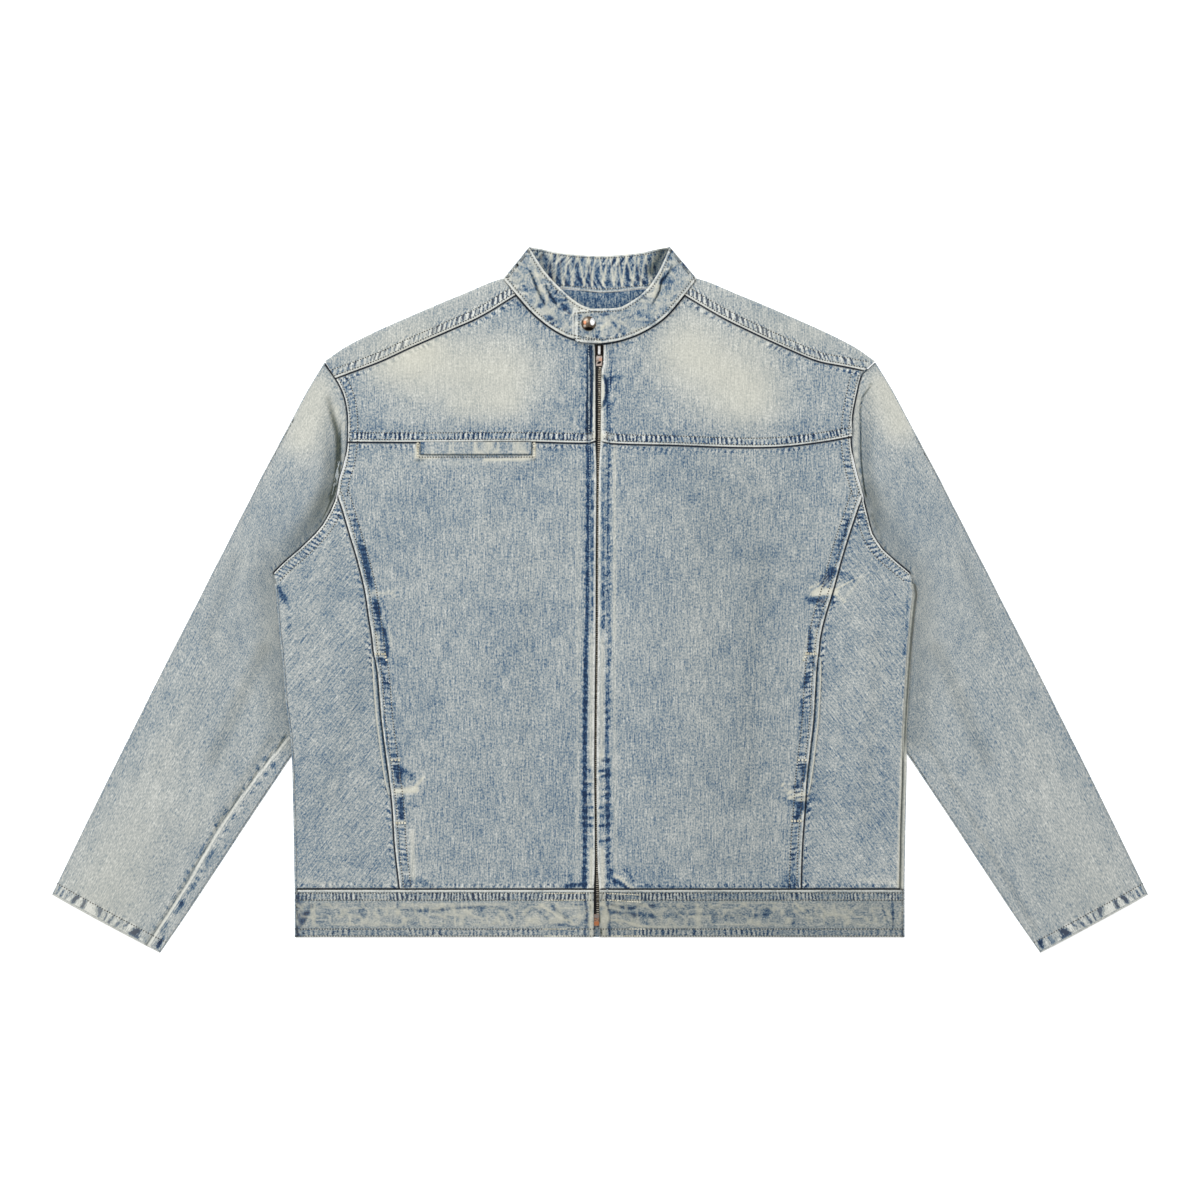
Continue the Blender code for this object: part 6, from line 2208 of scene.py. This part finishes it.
@dataclass
class Sleeve(Piece):
    """One sleeve, a flattened tube.

    Args:
        length: of the cloth from armhole to cuff, for its weave.
        width: of one face, for the same.
        cuff_rows: distances of the cuff's fold and stitches from its edge.
    """

    length: float = 590.0
    width: float = 185.0
    cuff_rows: tuple = (2.6, 12.4)

    def build(self, side: Side) -> None:
        """Makes the sleeve.

        Args:
            side: of the jacket.
        """
        sign = SIDES[side]
        outer = [(sign * row.outer, row.outer_y) for row in SLEEVE]
        inner = [(sign * getattr(row, side), row.inner_y) for row in SLEEVE]
        outer_line, inner_line = Line(outer, by_length=False), Line(inner, by_length=False)
        hole = [row for row in ARMHOLE if row.at > TUCK_TOP] + list(TUCK)
        hole = [np.array(outer[0])] + [np.array(point) for point in upright(hole, side)[1:]]

        def armhole_line(lap: float) -> Line:
            """The open end moved under the body by lap.

            Args:
                lap: how far.

            Returns:
                The open end's line.
            """
            moved = [hole[0]]
            for before, point, after in zip(hole, hole[1:], hole[2:]):
                outward = np.array([before[1] - after[1], after[0] - before[0]])
                outward = outward / np.linalg.norm(outward)
                if outward[0] * sign < 0:
                    outward = -outward
                share = float(ease((LAP_TOP - point[1]) / LAP_TOP_RUN)
                              * ease((point[1] - LIFT_TOP) / LAP_END_RUN))
                clear = SEAM_CLEAR if point[1] > LIFT_TOP else LOW_CLEAR
                moved.append(point + outward * (clear * (1.0 - share) - lap * share))
            return Line(moved + [hole[-1]])

        count = len(SLEEVE) - 1
        along = spaced(self.length, 2.0, COARSE, 60, 20)
        fine = spaced(self.width, 1.6, COARSE, 8, 18)
        coarse = np.linspace(1, 0, 24)
        across = np.concatenate([fine, np.ones(len(TURNS)), coarse, np.zeros(len(TURNS))])
        lean = np.concatenate([np.full(len(fine), ABOVE), TURNS, np.full(len(coarse), BELOW), TURNS[::-1]])

        def layer(lap: float, shares: Array) -> Array:
            """Points of one wall.

            Args:
                lap: how far it reaches under the body.
                shares: across the sleeve.

            Returns:
                x and y of the points.
            """
            bow = armhole_line(lap)
            near = np.maximum(0.0, 1.0 - along * count / SLEEVE_SHOULDER) ** 1.5
            start, end = outer_line(along)[:, None], inner_line(along)[:, None]
            u = shares[None, :, None]
            straight = np.array(outer[0]) * (1 - shares[:, None]) + np.array(inner[0]) * shares[:, None]
            offset = bow(shares) - straight
            return start * (1 - u) + end * u + offset[None] * near[:, None, None]

        front, back = layer(SLEEVE_LAP, across), layer(-SEAM_CLEAR, across)
        point = np.where((lean > 0)[None, :, None], front, back)
        normals = {}
        for share, fold in ((0.0, outer_line), (1.0, inner_line)):
            run = fold(np.minimum(along + 0.02, 1)) - fold(np.maximum(along - 0.02, 0))
            normal = np.stack([-run[:, 1], run[:, 0]], -1)
            normal = normal / np.linalg.norm(normal, axis=1, keepdims=True)
            facing = (normal[:, 0] * sign > 0) == (share == 1.0)
            normals[share] = np.where(facing[:, None], normal, -normal)
        inward = np.zeros_like(point)
        inward[:, across == 0.0] = normals[0.0][:, None]
        inward[:, across == 1.0] = normals[1.0][:, None]
        radius = SLEEVE_FLAT / 2.0
        angle = np.radians(lean)[None, :]

        def wall(depth: float) -> Array:
            """One face of the tube's wall.

            Args:
                depth: under the outer face.

            Returns:
                Rows by columns by 3.
            """
            bend = radius - depth
            folded = ((across == 0) | (across == 1))[None, :, None]
            plan = point + inward * (radius - bend * np.cos(angle))[..., None] * folded
            z = np.broadcast_to(radius + bend * np.sin(angle), plan.shape[:2]).copy()
            free = ease((np.abs(plan[..., 0]) - BULGE_START) / BULGE_RUN)
            bulge = SLEEVE_BULGE * free * np.sin(math.pi * across)[None, :] ** BULGE_FULLNESS
            z += np.where(lean[None, :] == ABOVE, bulge, 0.0)
            return raised(plan, z)

        top, under = wall(0.0), wall(WALL)
        lay = np.stack(np.meshgrid(across * self.width, along * self.length), -1)
        lay[..., 0] = np.where(lean[None, :] < 0, 400 - lay[..., 0], lay[..., 0])
        cloth = Surface(top, under, lay, wrap=True, flip=sign > 0)
        on_top = every_row(along, lean == ABOVE)
        edge = Line([(sign * 278.5, 243.0), *upright(ARMHOLE, side)])
        cuff = Line([outer[-1], inner[-1]])
        away = np.minimum(edge.nearest(top[..., :2])[0], 40 * np.ones_like(on_top))
        folds = np.minimum(across, 1 - across)[None, :] * self.width
        rise = undulate(top[..., :2], 41 + int(sign), 3.0, 60.0, np.minimum(away, folds * 1.5)) * on_top
        cloth.outer[..., 2] += rise
        cloth.inner[..., 2] += rise
        hems = [Seam(cuff, self.cuff_rows, 9.5, steady(0.8), 0.5, 20, thread=None, seed=44)]
        if side is Side.RIGHT:
            hems.append(Seam(Line(UNDERARM), (3.0,), 12.0, steady(0.35), 0.3, 14, thread=None, rim=1.5,
                             seed=46))
        rolled = Seam(edge, under=True, pitch=9.0, strength=steady(0.25), slant=0.5, seed=43)
        cloth.face.pucker("a", [rolled], on_top)
        cloth.face.pucker("b", hems, on_top)
        cloth.dress(SLEEVE_MARKS, only=on_top)
        made = cloth.build(f"sleeve_{side}_cloth", self.finishes.sleeve)
        self.sew(made, [Seam(cuff, self.cuff_rows[1:])])
        self.register(made, "denim_sleeve", [f"sleeve_{side}"], (0.47, 0.6), rests_on=["floor"], area=0.152)


@dataclass
class Collar(Piece):
    """Stand collar with its tab end.

    Args:
        parts: its runs in order, and the length of each.
        corner_from: share of the tab's length from which its corners are rounded.
        corner: how far they are rounded.
    """

    parts: tuple = (("front_right", 120), ("back", 194), ("front_left", 150))
    corner_from: float = 0.985
    corner: float = 3.0

    def build(self) -> None:
        """Makes the band, folded at both sides."""
        lines = {name: (Line(COLLAR_SEAM[name]), Line(COLLAR_FREE[name])) for name in COLLAR_SEAM}
        radius = COLLAR_TOP / 2.0
        rows = spaced(38, 1.2, 1.6, 8, 8)
        columns = []
        for index, (name, length) in enumerate(self.parts):
            on_top = index != 1
            columns += [(name, share, ABOVE if on_top else BELOW) for share in spaced(length, 1.6, 1.6)]
            for turn in TURNS if index < 2 else ():
                place = (self.parts[index + 1][0], 0.0) if turn < 0 else (name, 1.0)
                columns.append((*place, turn if on_top else -turn))
        parts = {}
        for depth in (0.0, DOUBLE_WALL):
            out = np.empty((len(rows), len(columns), 3))
            bend = radius - depth
            for place, (name, share, lean) in enumerate(columns):
                seam, free = lines[name]
                at = seam(share) * (1 - rows[:, None]) + free(share) * rows[:, None]
                folded = (share == 1.0 and name != "front_left") or (share == 0.0 and name != "front_right")
                if folded:
                    step = 0.96 if share == 1.0 else 0.04
                    ahead = seam(step) * (1 - rows[:, None]) + free(step) * rows[:, None]
                    inward = (ahead - at) / np.linalg.norm(ahead - at, axis=1, keepdims=True)
                    at = at + inward * (radius - bend * math.cos(math.radians(lean)))
                if name == "front_left" and share > self.corner_from:
                    corner = np.clip(np.abs(rows - 0.5) * 2 - 0.8, 0, 1) / 0.2
                    cut = self.corner * (1 - np.sqrt(np.clip(1 - corner**2, 0, 1)))[:, None]
                    at = at + np.array([1.0, 0.0]) * cut * (share - self.corner_from) / (1 - self.corner_from)
                lift = 0.0
                if name == "front_left":
                    lift = TAB_LIFT * ease((TAB_RISE_FROM - at[:, 0]) / (TAB_RISE_FROM - TAB_RISE_TO))
                z = radius + bend * math.sin(math.radians(lean)) + lift
                out[:, place] = np.concatenate([at, np.broadcast_to(z, (len(rows),))[:, None]], 1)
            parts[depth] = out
        cloth = Surface(parts[0.0], parts[DOUBLE_WALL], parts[0.0][..., :2])
        on_top = every_row(rows, [column[2] > 0 for column in columns])
        seams = []
        for name in ("front_right", "front_left"):
            seams += [Seam(lines[name][1], (3.2,), 8.0, steady(0.35), 0.6, 14, rim=2.1, seed=51),
                      Seam(lines[name][0], (3.2,), 8.0, steady(0.4), 0.6, 14, rim=2.1, seed=52)]
        tab = np.vstack([lines["front_left"][0](1.0), lines["front_left"][1](1.0)])
        seams.append(Seam(Line(tab), (4.0,), 9.0, steady(0.3), 0.6, 14, rim=3.4, seed=53))
        cloth.face.pucker("a", seams, on_top)
        cloth.face.crumple(on_top * 0.9, 7.0, 6.0, 0.5, 0.7, 0.6, 54)
        cloth.face.wash[..., 0] += 0.05 * on_top
        cloth.dress(COLLAR_MARKS, only=on_top)
        inside = every_row(rows, [column[0] == "back" for column in columns])
        back_seams = [Seam(lines["back"][1], (2.6,), 7.0, steady(0.6), 0.6, 30, seed=55),
                      Seam(lines["back"][0], (3.4,), 7.0, steady(0.6), 0.6, 30, seed=56)]
        cloth.lining.pucker("a", back_seams, inside)
        folds = []
        for index, (foot, strong) in enumerate(COLLAR_FOLDS):
            sway = 1.6 * math.sin(2.7 * index)
            for lean in (-4.6 - 1.2 * math.sin(5 * index), 4.6 + 1.3 * math.cos(3 * index)):
                ridge = (foot + lean + sway, 347), (foot + 0.5 * lean, 333 + sway), (foot, 315)
                folds.append(Mark(ridge, 1.4, pale=strong, height=0.6 * strong))
            folds.append(Mark(((foot + sway, 344), (foot, 326)), 3.4, indigo=0.35, height=-0.4))
            folds.append(Mark(((foot + 5.2, 334), (foot + 5.4, 316)), 3.4, indigo=0.9 * strong, height=-0.5,
                              taper=1.3))
        # Painted shade inside the back of the collar.
        folds += strokes("indigo shade", (12, 0.4, 0.3, -48, 320, -60, 350),
                         (12, 0.2, 0.85, 52, 330, 62, 350))
        cloth.lining.dress(folds, only=inside)
        cloth.lining.crumple(inside * 0.5, 5.0, 12.0, 0.3, 0.5, 0.7, 57)
        cloth.flip = True
        made = cloth.build("collar_cloth", self.finishes.trim)
        self.sew(made, seams)
        for seam in back_seams:
            self.sewing.seam(made, seam, 5.0)
        self.register(made, "denim_trim", ["collar"], (0.47, 0.045), held="folded", rests_on=["back_panel"])


@dataclass
class Band(Piece):
    """Hem band from zip edge to zip edge round the back.

    Args:
        middle: y at which its ends and folds are read.
        bars: ends of the rows of fresh thread beside the zip.
    """

    middle: float = -310.0
    bars: tuple = ((-55, -293.4, -16, -293), (-55, -300.2, -16, -300), (8, -293.3, 40, -295),
                   (8, -300, 40, -302), (-55, -329, -34, -329), (-55, -336, -30, -336),
                   (12, -336, 40, -336), (30, -329, 44, -329))

    def build(self) -> None:
        """Makes the band."""
        radius = BAND_TOP / 2.0
        ends = [float(read(ZIP, self.middle, side)) for side in SIDES]
        right, left = (sign * float(read(SIDE_FOLD, self.middle, side)) for side, sign in SIDES.items())
        starts = ends[0], right, left, ends[1]
        rows = spaced(47.5, 1.3, 1.7, 14, 14)
        xs, leans = [], []
        for index, (start, end) in enumerate(zip(starts, starts[1:])):
            on_top = index != 1
            shares = spaced(300, 1.7, 1.7) if on_top else spaced(600, HIDDEN, HIDDEN)
            xs += list(start + (end - start) * shares)
            leans += [ABOVE if on_top else BELOW] * len(shares)
            if index < 2:
                xs += [end] * len(TURNS)
                leans += [turn if on_top else -turn for turn in TURNS]
        xs, leans = np.array(xs), np.array(leans)
        side = np.where(np.isin(xs, (right, left)), -np.sign(xs), 0.0)
        parts = []
        for depth in (0.0, DOUBLE_WALL):
            bend = radius - depth
            x = xs + side * (radius - bend * np.cos(np.radians(leans)))
            z = radius + bend * np.sin(np.radians(leans))
            y = HEM_Y + (BAND_SEAM_Y - HEM_Y) * rows
            parts.append(np.stack(np.broadcast_arrays(x[None, :], y[:, None], z[None, :]), -1).copy())
        cloth = Surface(parts[0], parts[1], parts[0][..., 1::-1].copy())
        on_top = every_row(rows, leans == ABOVE)
        top_edge, low_edge = (Line([(-306, y), (306, y)]) for y in (BAND_SEAM_Y, HEM_Y))
        top_strength = varying((0, 0.9), (90, 0.7), (130, 0.9), (290, 0.9), (330, 0.8), (612, 0.7))
        low_strength = varying((0, 0.4), (100, 0.5), (320, 0.5), (500, 0.5), (612, 0.4))
        seams = [Seam(top_edge, (3.0, 10.0), 3.9, top_strength, 0.2, 14, seed=61),
                 Seam(low_edge, (1.5, 8.5), 5.0, low_strength, 0.2, 14, seed=62)]
        cloth.face.pucker("b", seams, on_top)
        up = parts[0][..., 1]
        between = ease((up - HEM_Y - 9.0) / 5.0) * ease((BAND_SEAM_Y - 11.0 - up) / 4.0) * on_top
        cloth.face.crumple(between * 0.9, 6.0, 8.0, 0.5, 0.75, 0.4, 63)
        cloth.face.crumple(between * 0.6, 17.0, 7.0, 0.6, 0.4, 0.4, 64)
        tinge = np.where(parts[0][..., :1] > 0, (0.12, 0.0, 0.36), (0.2, 0.0, 0.18))
        cloth.face.wash += tinge * on_top[..., None]
        cloth.dress(BAND_MARKS, only=on_top)
        made = cloth.build("hem_band_cloth", self.finishes.trim)
        self.sew(made, seams)
        for ends in self.bars:
            self.sewing.row(made, Line([ends[:2], ends[2:]]).beside(0.0), Yarn.FRESH, 0.05)
        self.register(made, "denim_trim", ["hem_band"], (1.215, 0.0475), held="folded", rests_on=["floor"])


@dataclass
class Zip(Piece):
    """Tapes, teeth, slider, pull and box of the zip.

    Args:
        tape: y of the tapes' ends.
        teeth: y of the first and the last tooth.
        tape_reach: how far a tape reaches from the middle.
        tape_wall: its thickness.
        pitch: spacing of the teeth.
        lean: how far the chain lies towards the left.
        stations: points along the chain.
    """

    tape: tuple = (260.0, -337.0)
    teeth: tuple = (234.5, -314.0)
    tape_reach: float = 16.8
    tape_wall: float = 1.0
    pitch: float = 2.1
    lean: float = 0.8
    stations: int = 60

    def build(self, nodes: dict) -> None:
        """Makes the tapes and teeth and gives the metal its finish.

        Args:
            nodes: the parts of the frame, by name.
        """
        for side, sign in SIDES.items():
            ys = np.arange(*self.tape, -3.0)
            near, share = read(ZIP, ys, "tape_gap"), np.linspace(0, 1, 8)
            away = sign * (near[:, None] * (1 - share) + self.tape_reach * share)
            made = self.strip(f"zip_tape_{side}_cloth", ys, away, FRONT_BASE, self.tape_wall)
            self.register(made, "zip_tape", [f"zip_tape_{side}"], (0.0145, 0.597), rests_on=["back_panel"])
        ys = np.arange(self.teeth[0] + 3.0, self.teeth[1] - 12.0, -4.0)
        core = self.strip("zip_core", ys, np.linspace(-2.4, 2.4, 5)[None, :], 2.55, 0.4)
        self.register(core, "zip_tape", [])
        ys = np.linspace(*self.teeth, self.stations)
        points = np.stack([read(ZIP, ys, "chain") + self.lean, ys, np.full(self.stations, 2.8)], -1)
        edges = np.stack([np.arange(self.stations - 1), np.arange(1, self.stations)], -1)
        made = repeated("zip_teeth", points, edges, self.tooth(), self.pitch, self.finishes.teeth)
        self.register(made, "zip_metal", ["zip_chain"])
        for name, finish in (("zip_slider", self.finishes.bridge), ("zip_pull", self.finishes.pull),
                             ("zip_box", self.finishes.copper)):
            for slot in nodes[name].material_slots:
                slot.material = finish

    def strip(self, name: str, ys: Array, away: Array, low: float, wall: float) -> Object:
        """A flat strip of tape along the chain.

        Args:
            name: of the piece.
            ys: its rows.
            away: distances of its columns from the middle of the chain.
            low: height of its under face.
            wall: its thickness.

        Returns:
            The strip.
        """
        x = read(ZIP, ys, "chain")[:, None] + away
        plan = np.stack([x, np.repeat(ys[:, None], x.shape[1], 1)], -1)
        return cloth_built(panel(plan, lambda x, y: np.full_like(x, low), wall), name, self.finishes.tape)

    @staticmethod
    def tooth() -> Object:
        """One tooth, from just past the middle of the chain outwards.

        Returns:
            The tooth.
        """
        rings = ((-1.2, 0.35, 0.4), (-0.7, 0.5, 0.8), (1.0, 0.42, 0.8), (1.6, 0.52, 0.85))
        corners = ((-1, -1), (1, -1), (1, 1), (-1, 1))
        points = np.array([(across * half, y, 0.85 + up * tall) for y, half, tall in rings
                           for across, up in corners])
        quads = grid_quads(4, 4, wrap=True).tolist()
        return add_solid("tooth", points, [*quads, (3, 2, 1, 0), (12, 13, 14, 15)], smooth=False)


@dataclass
class Snap(Piece):
    """Domed cap of the snap on the collar tab.

    Args:
        centre: x and y of its middle.
        low: height of its foot.
        radius: of its rim.
        height: from foot to crown.
        count: points round it.
    """

    centre: tuple = (-11.4, 275.9)
    low: float = 11.7
    radius: float = 7.2
    height: float = 3.7
    count: int = 64

    def build(self) -> None:
        """Turns the cap."""
        rise = np.radians(np.linspace(0, 84, 11))
        profile = [(0.0, 0.0), (0.5, 0.0), (0.93, 0.0), (1.0, 0.1), (1.0, 0.22), (0.955, 0.3)]
        profile += [(0.93 * math.cos(turn), 0.3 + 0.7 * math.sin(turn)) for turn in rise]
        (x, y), count = self.centre, self.count
        turn = np.arange(count) / count * math.tau
        points = [(x, y, self.low)]
        for share, up in profile[1:]:
            points += [(x + self.radius * share * math.cos(t), y + self.radius * share * math.sin(t),
                        self.low + self.height * up) for t in turn]
        points.append((x, y, self.low + self.height))
        last = len(points) - 1
        faces = grid_quads(len(profile) - 1, count, wrap=True, first=1).tolist()
        faces += [(0, 1 + (i + 1) % count, 1 + i) for i in range(count)]
        faces += [(last, last - count + i, last - count + (i + 1) % count) for i in range(count)]
        made = add_solid("snap_cap_dome", np.array(points), faces)
        made.data.materials.append(self.finishes.snap_metal)
        self.register(made, "snap_metal", ["snap_cap"])


@dataclass
class Studio:
    """Floor, light and camera.

    Args:
        height: of the camera, in metres.
        lens: its focal length, in millimetres.
        reach: half the width of the floor.
    """

    height: float = 2.84
    lens: float = 85.0
    reach: float = 4000.0

    def build(self) -> None:
        """Sets up the room."""
        scene, white = bpy.context.scene, (1.0, 1.0, 1.0, 1.0)
        corners = [[x * self.reach, y * self.reach, -0.3] for x, y in ((-1, -1), (1, -1), (1, 1), (-1, 1))]
        floor = add_mesh("floor", np.array(corners), np.array([[0, 1, 2, 3]]))
        material, g, shader = new_material("pale_floor")
        g.fill(shader, Base_Color=(0.92, 0.92, 0.92, 1.0), Emission_Color=white, Emission_Strength=0.6,
               Roughness=0.9, Specular_IOR_Level=0.1)
        floor.data.materials.append(material)
        scene.world = bpy.data.worlds.new("soft_room")
        scene.world.use_nodes = True
        g.fill(scene.world.node_tree.nodes["Background"], Color=white, Strength=0.72)
        self.lamp("key", (-1000, 1300, 1900), 2000, 34.0)
        self.lamp("glint", (1000, 620, 1300), 420, 3.0)
        scene.camera = camera = placed("camera", bpy.data.cameras.new("camera"))
        camera.data.lens, camera.data.sensor_width = self.lens, 36.0
        camera.location = (0.0, 0.0, self.height)
        scene.view_settings.view_transform = "Standard"
        scene.view_settings.look = "None"

    @staticmethod
    def lamp(name: str, place: tuple, size: float, power: float) -> None:
        """A square soft light that looks at the jacket.

        Args:
            name: of the lamp.
            place: in millimetres.
            size: of its square, in millimetres.
            power: in watts.
        """
        made = placed(name, bpy.data.lights.new(name, "AREA"))
        made.data.shape, made.data.size, made.data.energy = "SQUARE", size * MM, power
        made.location = [value * MM for value in place]
        made.rotation_euler = (-made.location).to_track_quat("-Z", "Y").to_euler()


def main() -> None:
    """Builds the jacket on its frame and sets up the room."""
    logging.basicConfig(level=logging.INFO, format="%(message)s")
    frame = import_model()
    finishes, sewing = Finishes(), Sewing()
    Back(finishes, sewing).build()
    for side in SIDES:
        Sleeve(finishes, sewing).build(side)
        Front(finishes, sewing, side).build()
        Shoulder(finishes, sewing).build(side)
    Band(finishes, sewing).build()
    Collar(finishes, sewing).build()
    Zip(finishes, sewing).build(frame["nodes"])
    Snap(finishes, sewing).build()
    sewing.finish(finishes)
    Studio().build()


if __name__ == "__main__":
    main()
